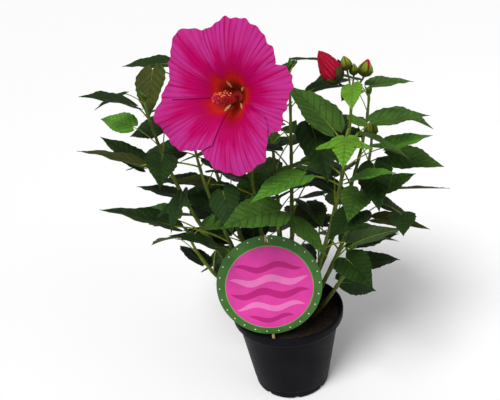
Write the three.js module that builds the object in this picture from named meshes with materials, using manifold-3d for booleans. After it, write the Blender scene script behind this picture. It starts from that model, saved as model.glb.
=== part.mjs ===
// A hibiscus shrub (rose mallow) in its nursery pot: a clump of green stems from
// one root, a mass of leaves on each stem, one large open bloom, a cluster of
// buds, and a round plant label on a peg. Millimetres, +Z up; the origin is the
// centre of the pot's flat underside, and the bloom looks towards -Y.
import * as THREE from 'three';
import { mergeVertices } from 'three/addons/utils/BufferGeometryUtils.js';
import Module from 'manifold-3d';

const wasm = await Module();
wasm.setup();

// ---------------------------------------------------------------- dimensions

const GAP = 0.3;

const POT = {
  height: 150, rimRadius: 95, rimBand: 18, bodyTopRadius: 86.5, bodyFootRadius: 67.5,
  footRadius: 65, footHeight: 15, wall: 2.5, floor: 3, sides: 28,
  notches: 8, notchRadius: 5, notchDepth: 2,
};

const SOIL_TOP = 134;

// Stems: compass angle from +X, distance of foot and tip from the axis, height
// above the soil, how early they lean out, where the leaves begin as a share of
// the height, how many leaves the rule tries, and the seed of its random numbers.
const STEM_COLUMNS = ['name', 'azimuth', 'foot', 'spread', 'height', 'bow', 'first', 'leaves', 'seed'];
const STEMS = [
  ['bud', 331, 24, 122, 385, 1.5, 0.14, 7, 949],
  ['bloom', 168, 20, 48, 352, 1.2, 0.22, 9, 1241],
  ['left_inner', 196, 26, 122, 330, 1.5, 0.18, 9, 1067],
  ['left', 182, 32, 184, 392, 1.6, 0.24, 10, 1024],
  ['right', 352, 32, 142, 312, 1.5, 0.2, 9, 1378],
  ['middle', 62, 16, 62, 405, 1.3, 0.22, 13, 813],
  ['back_right', 32, 30, 185, 345, 1.6, 0.22, 12, 1373],
  ['back_left', 140, 32, 165, 385, 1.6, 0.22, 12, 1053],
  ['back', 92, 34, 150, 335, 1.6, 0.22, 12, 1077],
  ['low_left', 201, 38, 150, 190, 1.4, 0.2, 8, 744],
  ['low_right', 340, 44, 110, 125, 1.4, 0.25, 6, 338],
  ['low_front', 262, 30, 40, 215, 1.4, 0.4, 6, 1143],
].map((row) => Object.fromEntries(row.map((value, i) => [STEM_COLUMNS[i], value])));

const STEM_RADIUS = { foot: 4.2, tip: 1.9 };
const LEAF = {
  turn: 137.5,        // divergence between one leaf and the next, degrees
  jitter: 50,         // random part of that divergence
  light: 0.25,        // share by which a leaf turns to the stem's open side
  length: [104, 64],  // blade length at the foot and at the tip of a stem
  width: 0.31,        // widest half-width, as a share of the length
  thickness: 1.4,
  stalk: [88, 28],    // leaf stalk, from the foot to the tip of a stem
  stalkRadius: 1.2,
  arch: 0.08,         // how far a stalk arches up, as a share of its length
  rows: [0.07, 0.28, 0.6],
  lobed: 0.1,         // share of leaves with two side lobes
};
const SWINGS = [0, 20, -20, 40, -40, 60, -60, 85, -85];

// The leaves that mark the front of the shrub: their stem, the foot's share of
// its height, the stalk's azimuth, rise and reach, then the blade's turn from the
// stalk, length, dip, roll, and whether it has lobes. Seeded leaves grow round them.
const SET_SHAPE = { curl: 16, fold: 9 };
const SET_COLUMNS = [
  'stem', 't', 'azimuth', 'rise', 'reach', 'turn', 'length', 'dip', 'roll', 'lobed',
];
const SET_LEAVES = [
  ['bud', 0.98, -96, 39, 60, -3, 45, 26, 13, false],
  ['bud', 0.89, -103, 5, 53, 3, 82, 6, 0, true],
  ['bud', 0.98, 29, 29, 40, -10, 66, 3, 6, false],
  ['bud', 0.83, 10, 34, 49, 0, 81, 0, 9, false],
  ['bud', 0.73, 4, 23, 68, 11, 72, -6, 4, false],
  ['bud', 0.67, -81, 26, 58, 40, 73, -22, 4, false],
  ['bud', 0.52, 12, 25, 74, 15, 79, -8, 6, false],
  ['bud', 0.37, -40, 26, 62, 8, 88, -29, -44, false],
  ['bud', 0.66, -154, 27, 67, 10, 95, 5, 0, false],
  ['bud', 0.8, 124, 44, 40, 13, 101, -35, -8, false],
  ['bud', 0.81, 75, 25, 58, -40, 49, 23, 24, false],
  ['bloom', 0.63, 176, 19, 72, -14, 70, -4, -1, false],
  ['left_inner', 0.48, -173, 26, 92, -6, 118, -21, 8, false],
  ['left_inner', 0.89, -169, 10, 86, -17, 96, -18, 12, false],
  ['left', 0.68, 170, 24, 53, -11, 83, -35, -1, false],
  ['left', 0.82, 157, 34, 52, -4, 62, -9, -32, false],
  ['left', 0.92, -104, 41, 55, -32, 85, -24, -14, false],
  ['left', 0.78, 90, 31, 62, 71, 73, 16, -40, false],
  ['right', 0.33, 20, 32, 49, -2, 79, 2, 3, false],
  ['right', 0.69, -53, 2, 83, -47, 62, 1, 1, false],
  ['right', 0.6, -88, 31, 66, -44, 81, 6, -6, false],
  ['middle', 0.74, -60, 29, 68, -19, 99, 37, -6, false],
  ['back_left', 0.98, 170, 49, 56, 5, 79, -2, -12, false],
  ['back_left', 0.98, -137, 33, 85, 40, 85, 47, 13, false],
  ['low_left', 0.62, -70, 56, 83, -80, 72, -34, -6, false],
  ['low_right', 0.81, -97, 46, 70, 25, 85, 1, 21, false],
  ['low_front', 0.85, -86, 49, 76, -54, 103, -8, -24, false],
].map((row) => Object.fromEntries(row.map((value, i) => [SET_COLUMNS[i], value])));

// Balls that keep leaves apart: radii round a blade, a leaf stalk and a stem.
const KEEP = { blade: 4.2, stalk: 2.2, stem: 4.5, free: 10, step: 9, stalkStep: 5 };

// The label stays in sight from the front: discs of balls in front of its face.
const SIGHT = { azimuth: -88, elevation: 33, discs: 13, step: 12, narrowing: 0.1, ball: 5 };

const BLOOM = {
  throat: [-53, -60, 536], azimuth: -112, elevation: 14, radius: 112, thickness: 1.4,
  narrow: 0.8, overlap: 2.5, neckRadius: 7, calyxLength: 48, columnLength: 52,
};
const FUNNEL = { depth: -18, rise: 46, ease: 26 };

// Petals: direction, reach round to each side, and the edge's radius across them.
const PETALS = [
  { angle: -4, sides: [47, 40], edge: [62, 76, 88, 86, 88, 94, 99, 92, 74] },
  { angle: 78, sides: [47, 40], edge: [84, 90, 94, 101, 101, 101, 95, 86, 72] },
  { angle: 141, sides: [47, 42], edge: [70, 90, 98, 108, 102, 94, 86, 83, 78] },
  { angle: 208, sides: [47, 47], edge: [76, 91, 98, 115, 107, 107, 95, 80, 66] },
  { angle: 276, sides: [47, 62], edge: [62, 76, 88, 97, 104, 104, 98, 80, 62] },
];

// Buds at the end of the bud stem: tip, base and radius.
const BUDS = [
  { tip: [66, -50, 585], base: [91, -52, 541], radius: 15 },
  { tip: [99, -48, 575], base: [103, -50, 556], radius: 8 },
  { tip: [113, -44, 563], base: [112, -48, 548], radius: 6 },
  { tip: [131, -50, 569], base: [125, -51, 546], radius: 10 },
];
const SIDE_BUD = { rise: 24, radius: 9 };

const LABEL = {
  centre: [-26, -60, 231], radius: 83, lean: 10, thickness: 1.5, notchWidth: 6, notchDepth: 12,
};
const PEG_RADIUS = 2.5;

// ------------------------------------------------------------------ materials

function material(color, roughness, metalness = 0) {
  return new THREE.MeshStandardMaterial({ color, roughness, metalness });
}

const COLOURS = {
  pot: material(0x1d1d22, 0.45),
  soil: material(0x17110d, 0.95),
  stem: material(0x556530, 0.7),
  leaf: material(0x2c4a24, 0.6),
  bloom: material(0xba1e7d, 0.6),
  bud: material(0x8a2028, 0.6),
  greenBud: material(0x62722a, 0.6),
  label: material(0x3d6a38, 0.4),
  peg: material(0xa28854, 0.7),
};

// -------------------------------------------------------------------- helpers

const vec = (x, y, z) => new THREE.Vector3(x, y, z);
const lerp = THREE.MathUtils.lerp;
const radians = THREE.MathUtils.degToRad;
const UP = vec(0, 0, 1);
const group = new THREE.Group();

function polar(azimuth, elevation = 0) {
  const a = radians(azimuth);
  const e = radians(elevation);
  return vec(Math.cos(a) * Math.cos(e), Math.sin(a) * Math.cos(e), Math.sin(e));
}

function along(from, ...steps) {
  const p = from.clone();
  for (const [direction, distance] of steps) p.addScaledVector(direction, distance);
  return p;
}

function seeded(seed) {
  let state = seed >>> 0;
  return () => {
    state = (state + 0x6d2b79f5) >>> 0;
    let t = Math.imul(state ^ (state >>> 15), state | 1);
    t ^= t + Math.imul(t ^ (t >>> 7), t | 61);
    return ((t ^ (t >>> 14)) >>> 0) / 4294967296;
  };
}

function signedVolume(geometry) {
  const p = geometry.getAttribute('position');
  const index = geometry.getIndex();
  const [a, b, c] = [vec(), vec(), vec()];
  let volume = 0;
  for (let i = 0; i < index.count; i += 3) {
    a.fromBufferAttribute(p, index.getX(i));
    b.fromBufferAttribute(p, index.getX(i + 1));
    c.fromBufferAttribute(p, index.getX(i + 2));
    volume += a.dot(b.cross(c)) / 6;
  }
  return volume;
}

// Merges shared vertices and turns the faces to point out.
function closed(geometry) {
  geometry.deleteAttribute('normal');
  geometry.deleteAttribute('uv');
  const merged = mergeVertices(geometry, 1e-4);
  if (signedVolume(merged) < 0) {
    const index = merged.getIndex();
    for (let i = 0; i < index.count; i += 3) {
      const first = index.getX(i);
      index.setX(i, index.getX(i + 1));
      index.setX(i + 1, first);
    }
  }
  return merged;
}

function solidOf(points, faces) {
  const geometry = new THREE.BufferGeometry();
  geometry.setAttribute('position', new THREE.Float32BufferAttribute(points.flatMap((p) => p.toArray()), 3));
  geometry.setIndex(faces.flat());
  return closed(geometry);
}

function toManifold(geometry) {
  const mesh = new wasm.Mesh({
    numProp: 3,
    vertProperties: Float32Array.from(geometry.getAttribute('position').array),
    triVerts: Uint32Array.from(geometry.getIndex().array),
  });
  return new wasm.Manifold(mesh);
}

function toGeometry(manifold) {
  const { vertProperties, triVerts } = manifold.getMesh();
  const geometry = new THREE.BufferGeometry();
  geometry.setAttribute('position', new THREE.Float32BufferAttribute(vertProperties, 3));
  geometry.setIndex([...triVerts]);
  return geometry;
}

function fused(geometries) {
  return toGeometry(geometries.map(toManifold).reduce((whole, piece) => whole.add(piece)));
}

function add(name, geometry, colour) {
  const mesh = new THREE.Mesh(geometry, colour);
  mesh.name = name;
  group.add(mesh);
}

// A tapering round limb through the points, closed at both ends. The ends are
// square to the path, or to the given directions.
function limb(points, radii, sides, firstDirection, lastDirection) {
  const count = points.length;
  const vertices = [];
  const faces = [];
  let side = null;
  points.forEach((point, i) => {
    const before = points[Math.max(i - 1, 0)];
    const after = points[Math.min(i + 1, count - 1)];
    let forward = after.clone().sub(before).normalize();
    if (i === 0 && firstDirection) forward = firstDirection;
    if (i === count - 1 && lastDirection) forward = lastDirection;
    side = side ?? (Math.abs(forward.z) < 0.9 ? vec(0, 0, 1) : vec(1, 0, 0));
    side = side.clone().addScaledVector(forward, -side.dot(forward)).normalize();
    const other = forward.clone().cross(side);
    for (let k = 0; k < sides; k += 1) {
      const a = (2 * Math.PI * k) / sides;
      vertices.push(along(point, [side, radii[i] * Math.cos(a)], [other, radii[i] * Math.sin(a)]));
    }
  });
  for (let i = 0; i + 1 < count; i += 1) {
    for (let k = 0; k < sides; k += 1) {
      const a = i * sides + k;
      const b = i * sides + ((k + 1) % sides);
      faces.push([a, b, b + sides], [a, b + sides, a + sides]);
    }
  }
  for (let k = 1; k + 1 < sides; k += 1) {
    const last = (count - 1) * sides;
    faces.push([0, k + 1, k], [last, last + k, last + k + 1]);
  }
  return solidOf(vertices, faces);
}

// A thin plate from rows of points, each row with its normal and its thickness.
// A last row of one point is the plate's tip.
function plate(rows, normals, thicknesses) {
  const points = rows.flat();
  const lifts = rows.flatMap((row, i) => row.map(() => normals[i].clone().setLength(thicknesses[i] / 2)));
  const starts = rows.map((row, i) => rows.slice(0, i).reduce((sum, r) => sum + r.length, 0));
  const at = (i, j) => starts[i] + Math.min(j, rows[i].length - 1);
  const count = points.length;
  const faces = [];
  for (let i = 0; i + 1 < rows.length; i += 1) {
    const columns = Math.max(rows[i].length, rows[i + 1].length);
    for (let j = 0; j + 1 < columns; j += 1) {
      const corners = [at(i, j), at(i, j + 1), at(i + 1, j + 1), at(i + 1, j)];
      const ring = corners.filter((c, k) => c !== corners[(k + 3) % 4]);
      for (let k = 1; k + 1 < ring.length; k += 1) {
        faces.push([ring[0], ring[k], ring[k + 1]]);
        faces.push([ring[0] + count, ring[k + 1] + count, ring[k] + count]);
      }
    }
  }
  const lastRow = rows.length - 1;
  const edge = [];
  for (let j = 0; j < rows[0].length; j += 1) edge.push(at(0, j));
  for (let i = 1; i < lastRow; i += 1) edge.push(at(i, rows[i].length - 1));
  for (let j = rows[lastRow].length - 1; j >= 0; j -= 1) edge.push(at(lastRow, j));
  for (let i = lastRow - 1; i > 0; i -= 1) edge.push(at(i, 0));
  edge.forEach((a, k) => {
    const b = edge[(k + 1) % edge.length];
    faces.push([a, a + count, b + count], [a, b + count, b]);
  });
  const front = points.map((p, i) => p.clone().add(lifts[i]));
  const back = points.map((p, i) => p.clone().sub(lifts[i]));
  return solidOf([...front, ...back], faces);
}

// A solid of revolution from (radius, height) pairs, standing on base along axis.
function turned(profile, sides, base, axis) {
  const geometry = new THREE.LatheGeometry(profile.map(([r, h]) => new THREE.Vector2(r, h)), sides);
  geometry.applyQuaternion(new THREE.Quaternion().setFromUnitVectors(vec(0, 1, 0), axis));
  geometry.translate(base.x, base.y, base.z);
  return closed(geometry);
}

// ------------------------------------------------------------- pot and soil

function innerWall() {
  const inset = POT.wall + 1.5;
  const bandFoot = POT.height - POT.rimBand;
  return [
    [POT.rimRadius - inset, POT.height],
    [POT.rimRadius - inset - 0.5, POT.height - 10],
    [POT.bodyTopRadius - POT.wall, bandFoot - 1],
    [POT.bodyFootRadius - POT.wall, POT.footHeight + 2],
    [POT.footRadius - POT.wall, POT.floor],
  ];
}

function buildPot() {
  const bandFoot = POT.height - POT.rimBand;
  const profile = [
    [0, 0],
    [POT.footRadius - 3, 0],
    [POT.footRadius, 3],
    [POT.footRadius + 1, POT.footHeight - 1],
    [POT.bodyFootRadius, POT.footHeight + 2],
    [POT.bodyTopRadius, bandFoot],
    [POT.rimRadius - 3, bandFoot + 1],
    [POT.rimRadius - 0.7, bandFoot + 4],
    [POT.rimRadius, POT.height - 4],
    [POT.rimRadius - 1.5, POT.height],
    ...innerWall(),
    [0, POT.floor],
  ];
  let pot = toManifold(turned(profile, POT.sides, vec(0, 0, 0), UP));
  for (let i = 0; i < POT.notches; i += 1) {
    const outward = polar(((i + 0.5) * 360) / POT.notches);
    const start = outward.clone().multiplyScalar(POT.footRadius - POT.notchDepth);
    const end = outward.clone().multiplyScalar(POT.footRadius + 10);
    const radii = [POT.notchRadius, POT.notchRadius];
    pot = pot.subtract(toManifold(limb([start, end], radii, 8)));
  }
  add('pot', toGeometry(pot), COLOURS.pot);
}

function buildSoil() {
  const wall = innerWall().reverse();
  const [below, above] = [wall[2], wall[3]];
  const share = (SOIL_TOP - below[1]) / (above[1] - below[1]);
  const topRadius = lerp(below[0], above[0], share) - GAP;
  const profile = [
    [0, POT.floor + GAP],
    [wall[0][0] - GAP, POT.floor + GAP],
    [wall[1][0] - GAP, wall[1][1]],
    [wall[2][0] - GAP, wall[2][1]],
    [topRadius, SOIL_TOP],
    [0, SOIL_TOP],
  ];
  add('soil', turned(profile, POT.sides, vec(0, 0, 0), UP), COLOURS.soil);
}

// ---------------------------------------------------------- label and its peg

const labelUp = vec(0, Math.sin(radians(LABEL.lean)), Math.cos(radians(LABEL.lean)));
const labelBack = vec(0, Math.cos(radians(LABEL.lean)), -Math.sin(radians(LABEL.lean)));
const labelCentre = vec(...LABEL.centre);
const pegMiddle = along(labelCentre, [labelBack, LABEL.thickness / 2 + GAP + PEG_RADIUS]);
const pegFoot = along(pegMiddle, [labelUp, -(pegMiddle.z - SOIL_TOP - GAP) / labelUp.z]);

function buildLabel() {
  const half = LABEL.notchWidth / 2;
  const start = Math.acos(half / LABEL.radius);
  const shape = new THREE.Shape();
  shape.absarc(0, 0, LABEL.radius, Math.PI - start, start + 2 * Math.PI, false);
  shape.lineTo(half, LABEL.radius - LABEL.notchDepth);
  shape.lineTo(-half, LABEL.radius - LABEL.notchDepth);
  const geometry = new THREE.ExtrudeGeometry(shape, {
    depth: LABEL.thickness, bevelEnabled: false, curveSegments: 36,
  });
  geometry.translate(0, 0, -LABEL.thickness / 2);
  const facing = labelBack.clone().negate();
  geometry.applyMatrix4(new THREE.Matrix4().makeBasis(vec(1, 0, 0), labelUp, facing));
  geometry.translate(...LABEL.centre);
  add('plant_label', closed(geometry), COLOURS.label);
}

function buildPeg() {
  const top = along(pegMiddle, [labelUp, LABEL.radius]);
  add('label_peg', limb([pegFoot, top], [PEG_RADIUS, PEG_RADIUS], 8, UP), COLOURS.peg);
}

// --------------------------------------------------------- the stems' own line

function stemPoint(stem, t) {
  const reach = stem.foot + (stem.spread - stem.foot) * (1 - (1 - Math.min(t, 1)) ** stem.bow);
  return polar(stem.azimuth).multiplyScalar(reach).add(vec(0, 0, SOIL_TOP + stem.height * t));
}

function stemDirection(stem, t) {
  const step = 0.001;
  const before = stemPoint(stem, Math.min(t, 1) - step);
  return stemPoint(stem, Math.min(t, 1)).sub(before).normalize();
}

const stemRadius = (t) => lerp(STEM_RADIUS.foot, STEM_RADIUS.tip, t);
const stemNamed = (name) => STEMS.find((stem) => stem.name === name);

// --------------------------------------------------------------- leaves' rule

function halfWidth(s, lobed) {
  if (s <= 0 || s >= 1) return 0;
  const oval = 2.71 * s ** 0.45 * (1 - s) ** 1.3;
  return lobed ? oval * (0.72 + 0.75 * lobe(s)) : oval;
}

const lobe = (s) => Math.exp(-(((s - 0.33) / 0.09) ** 2));

// The blade's midrib is an arc: it leaves the stalk at one slope and droops.
function bladeFrame(leaf, s) {
  const out = polar(leaf.azimuth);
  const level = vec(-out.y, out.x, 0);
  const start = radians(0.4 * leaf.curl - leaf.dip);
  const bend = radians(leaf.curl);
  const slope = start - bend * s;
  const run = (leaf.length * (Math.sin(start) - Math.sin(slope))) / bend;
  const rise = (leaf.length * (Math.cos(slope) - Math.cos(start))) / bend;
  const forward = along(out.clone().multiplyScalar(Math.cos(slope)), [UP, Math.sin(slope)]);
  const lift = along(UP.clone().multiplyScalar(Math.cos(slope)), [out, -Math.sin(slope)]);
  const roll = radians(leaf.roll);
  return {
    rib: along(leaf.base, [out, run], [UP, rise]),
    forward,
    side: along(level.clone().multiplyScalar(Math.cos(roll)), [lift, Math.sin(roll)]),
    normal: along(lift.clone().multiplyScalar(Math.cos(roll)), [level, -Math.sin(roll)]),
  };
}

function bladePoint(leaf, s, u) {
  const { rib, forward, side, normal } = bladeFrame(leaf, s);
  const half = leaf.width * halfWidth(s, leaf.lobed);
  const fold = radians(leaf.fold);
  const back = 0.13 * (1 - s) ** 6 - (leaf.lobed ? 0.16 * lobe(s) : 0);
  const across = Math.abs(u);
  return along(
    rib,
    [forward, -back * leaf.length * across],
    [side, u * half * Math.cos(fold)],
    [normal, across * half * Math.sin(fold)],
  );
}

function stalkPoint(leaf, share) {
  const span = leaf.base.clone().sub(leaf.foot);
  const arch = 4 * share * (1 - share) * LEAF.arch * span.length();
  return along(leaf.foot, [span, share], [UP, arch]);
}

// One leaf of a stem, from its place on the stem and nine random numbers.
function drawLeaf(stem, i, random, phase) {
  const t = stem.first + (0.985 - stem.first) * (i / (stem.leaves - 1));
  const free = phase + i * LEAF.turn + (random() - 0.5) * LEAF.jitter;
  const away = ((((free - stem.azimuth + 180) % 360) + 360) % 360) - 180;
  const azimuth = stem.azimuth + away * (1 - LEAF.light);
  const reach = lerp(...LEAF.stalk, t) * lerp(0.65, 1.3, random());
  const rise = lerp(16, 44, t) + (random() - 0.5) * 26;
  const length = lerp(...LEAF.length, t * t) * lerp(0.8, 1.2, random());
  const dip = lerp(-8, 30, random());
  const roll = (random() - 0.5) * lerp(66, 40, t);
  const curl = lerp(6, 32, random());
  const fold = lerp(3, 20, random());
  const turn = (random() - 0.5) * 44;
  const lobed = random() < LEAF.lobed;
  const foot = stemPoint(stem, t);
  const width = length * LEAF.width;
  return { foot, azimuth, reach, rise, length, width, dip, roll, curl, fold, turn, lobed };
}

// The leaf swung round its stem, with its blade at the end of its stalk.
function swung(leaf, swing) {
  const base = along(leaf.foot, [polar(leaf.azimuth + swing, leaf.rise), leaf.reach]);
  return { ...leaf, base, azimuth: leaf.azimuth + swing + leaf.turn };
}

const setLeaves = SET_LEAVES.map((leaf) => {
  const foot = stemPoint(stemNamed(leaf.stem), leaf.t);
  return swung({ ...leaf, ...SET_SHAPE, foot, width: leaf.length * LEAF.width }, 0);
});

// ---------------------------------------------------- room for every leaf

const taken = [];

function ballsOfLeaf(leaf) {
  const balls = [];
  for (let i = 0; i <= 12; i += 1) {
    for (let j = 0; j <= 8; j += 1) balls.push([bladePoint(leaf, i / 12, j / 4 - 1), KEEP.blade]);
  }
  const span = leaf.base.distanceTo(leaf.foot);
  const count = Math.ceil((span - KEEP.free) / KEEP.stalkStep);
  for (let k = 0; k < count; k += 1) {
    const share = (KEEP.free + ((span - KEEP.free) * k) / count) / span;
    balls.push([stalkPoint(leaf, share), KEEP.stalk]);
  }
  return balls;
}

function isClear(balls) {
  const box = new THREE.Box3().setFromPoints(balls.map(([p]) => p)).expandByScalar(20);
  const near = taken.filter(([p]) => box.containsPoint(p));
  return balls.every(([p, r]) => near.every(([q, s]) => p.distanceToSquared(q) >= (r + s) ** 2));
}

function ringBalls(centre, u, v, radius, ball) {
  const count = Math.max(1, Math.ceil((2 * Math.PI * radius) / KEEP.step));
  return Array.from({ length: count }, (_, k) => {
    const a = (2 * Math.PI * k) / count;
    return [along(centre, [u, radius * Math.cos(a)], [v, radius * Math.sin(a)]), ball];
  });
}

function discBalls(centre, u, v, radius, ball, lift = () => 0) {
  const rings = Math.ceil(radius / KEEP.step);
  const normal = u.clone().cross(v);
  const balls = [];
  for (let k = 0; k <= rings; k += 1) {
    const r = (radius * k) / rings;
    balls.push(...ringBalls(along(centre, [normal, lift(r)]), u, v, r, ball));
  }
  return balls;
}

function rodBalls(from, to, ball) {
  const count = Math.ceil(from.distanceTo(to) / KEEP.step);
  return Array.from({ length: count + 1 }, (_, k) => [from.clone().lerp(to, k / count), ball]);
}

// ------------------------------------------------------------------- the bloom

const throat = vec(...BLOOM.throat);
const bloomAxis = polar(BLOOM.azimuth, BLOOM.elevation);
const bloomRight = UP.clone().cross(bloomAxis).normalize();
const bloomUp = bloomAxis.clone().cross(bloomRight);
const calyxBase = along(throat, [bloomAxis, -BLOOM.calyxLength]);

function funnel(radius) {
  const out = Math.max(radius, BLOOM.neckRadius) - BLOOM.neckRadius;
  return FUNNEL.depth + FUNNEL.rise * (1 - Math.exp(-out / FUNNEL.ease));
}

// A point of a petal: s from the neck to the edge, u across from -1 to 1.
function petalPoint({ angle, sides }, reach, s, u) {
  const radius = BLOOM.neckRadius + s * (reach - BLOOM.neckRadius);
  const side = u < 0 ? sides[0] : sides[1];
  const a = radians(angle + u * side * lerp(BLOOM.narrow, 1, s));
  const lift = funnel(radius) + BLOOM.overlap * u * Math.sqrt(s);
  return along(
    throat,
    [bloomRight, radius * Math.cos(a)],
    [bloomUp, radius * Math.sin(a)],
    [bloomAxis, lift],
  );
}

function petalSolid(petal) {
  const rows = [0, 0.18, 0.5, 1].map((s) => (
    petal.edge.map((reach, i) => petalPoint(petal, reach, s, (2 * i) / (petal.edge.length - 1) - 1))
  ));
  return plate(rows, rows.map(() => bloomAxis), rows.map(() => BLOOM.thickness));
}

function buildBloom() {
  const stem = stemNamed('bloom');
  const direction = stemDirection(stem, 1);
  const start = along(stemPoint(stem, 1), [direction, GAP / 2]);
  const end = along(calyxBase, [bloomAxis, 4]);
  const curve = new THREE.CubicBezierCurve3(
    start,
    along(start, [direction, 18]),
    along(end, [bloomAxis, -18]),
    end,
  );
  const stalk = limb(curve.getPoints(5), [1.6, 1.9, 2.3, 2.6, 3, 3.4], 6, direction);
  const calyx = turned([[0, 0], [6, 1], [12, 9], [14, 24], [9, 33], [0, 33]], 10, calyxBase, bloomAxis);
  const column = turned(
    [[0, 0], [3.2, 0], [2.6, 38], [6.5, 44], [7.5, 54], [5.5, 64], [3, 68], [0, 68]].map(
      ([r, h]) => [r, h * ((BLOOM.columnLength + 18) / 68)],
    ),
    8,
    along(throat, [bloomAxis, -18]),
    bloomAxis,
  );
  add('bloom', fused([stalk, calyx, column, ...PETALS.map(petalSolid)]), COLOURS.bloom);
}

// --------------------------------------------------------------------- buds

function budSolid(base, tip, radius) {
  const axis = tip.clone().sub(base);
  const height = axis.length();
  const profile = [[0, 0], [0.5, 0.02], [1, 0.35], [0.6, 0.76], [0, 1]];
  return turned(profile.map(([r, h]) => [r * radius, h * height]), 7, base, axis.normalize());
}

function buildBuds() {
  const stem = stemNamed('bud');
  const direction = stemDirection(stem, 1);
  const start = along(stemPoint(stem, 1), [direction, GAP / 2]);
  const knot = along(start, [direction, 5]);
  const pieces = [limb([start, knot], [1.7, 3], 6, direction, direction)];
  for (const { tip, base, radius } of BUDS) {
    const [top, foot] = [vec(...tip), vec(...base)];
    const into = top.clone().sub(foot).normalize();
    const end = along(foot, [into, 3]);
    const curve = new THREE.CubicBezierCurve3(
      along(start, [direction, 2.5]),
      along(start, [direction, 12]),
      along(foot, [into, -8]),
      end,
    );
    pieces.push(limb(curve.getPoints(4), [1.6, 1.6, 1.6, 1.8, 2.2], 5), budSolid(foot, top, radius));
  }
  add('bud_cluster', fused(pieces), COLOURS.bud);
}

function buildSideBud() {
  const stem = stemNamed('right');
  const direction = stemDirection(stem, 1);
  const start = along(stemPoint(stem, 1), [direction, GAP / 2]);
  const foot = along(start, [direction, 4]);
  const top = along(foot, [direction, SIDE_BUD.rise]);
  const stalk = limb([start, along(foot, [direction, 3])], [1.7, 2.6], 6, direction, direction);
  add('side_bud', fused([stalk, budSolid(foot, top, SIDE_BUD.radius)]), COLOURS.greenBud);
}

// ------------------------------------------------------ stems and foliage

// The stem's points between two shares of its height, with square ends.
function stemLimb(stem, from, to, steps, firstDirection) {
  const points = [];
  const radii = [];
  for (let i = 0; i <= steps; i += 1) {
    const t = lerp(from, to, i / steps);
    points.push(stemPoint(stem, t));
    radii.push(stemRadius(t));
  }
  points[0].addScaledVector(stemDirection(stem, Math.max(from, 0.001)), firstDirection ? 0 : GAP / 2);
  points[0].z += firstDirection ? GAP : 0;
  points[steps].addScaledVector(stemDirection(stem, to), -GAP / 2);
  return limb(points, radii, 6, firstDirection ?? stemDirection(stem, from), stemDirection(stem, to));
}

// The two edges of a leaf stalk at a point, square to its direction.
function stalkRow(point, direction, side) {
  const across = side.clone().addScaledVector(direction, -side.dot(direction)).normalize();
  const row = [along(point, [across, -LEAF.stalkRadius]), along(point, [across, LEAF.stalkRadius])];
  return { row, normal: direction.clone().cross(across) };
}

// A leaf as one closed solid: a square stalk that widens into the blade.
function leafSolid(leaf) {
  const { side, normal } = bladeFrame(leaf, 0);
  const middle = stalkPoint(leaf, 0.5);
  const stalk = [
    stalkRow(leaf.foot, middle.clone().sub(leaf.foot).normalize(), side),
    stalkRow(middle, leaf.base.clone().sub(leaf.foot).normalize(), side),
  ];
  const joint = [-LEAF.stalkRadius, LEAF.stalkRadius].map((r) => along(leaf.base, [side, r]));
  const blade = LEAF.rows.map((s) => [-1, 0, 1].map((u) => bladePoint(leaf, s, u)));
  const rows = [...stalk.map((each) => each.row), joint, ...blade, [bladePoint(leaf, 1, 0)]];
  const normals = [
    ...stalk.map((each) => each.normal),
    normal,
    ...[...LEAF.rows, 1].map((s) => bladeFrame(leaf, s).normal),
  ];
  const thick = [2 * LEAF.stalkRadius, 2 * LEAF.stalkRadius, LEAF.thickness];
  return plate(rows, normals, [...thick, ...LEAF.rows.map(() => LEAF.thickness), LEAF.thickness]);
}

function splitOf(stem) {
  return stem.first - 0.04;
}

function buildStem(stem) {
  add(`stem_${stem.name}`, stemLimb(stem, 0, splitOf(stem), 4, UP), COLOURS.stem);
}

function buildFoliage(stem) {
  const random = seeded(stem.seed);
  const phase = random() * 360;
  const own = setLeaves.filter((leaf) => leaf.stem === stem.name);
  const pieces = [stemLimb(stem, splitOf(stem), 1, 8), ...own.map(leafSolid)];
  for (let i = 0; i < stem.leaves; i += 1) {
    const drawn = drawLeaf(stem, i, random, phase);
    const leaf = SWINGS.map((swing) => swung(drawn, swing)).find((each) => isClear(ballsOfLeaf(each)));
    if (leaf) {
      taken.push(...ballsOfLeaf(leaf));
      pieces.push(leafSolid(leaf));
    }
  }
  add(`foliage_${stem.name}`, fused(pieces), COLOURS.leaf);
}

// ------------------------------------------------------------------- assembly

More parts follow.
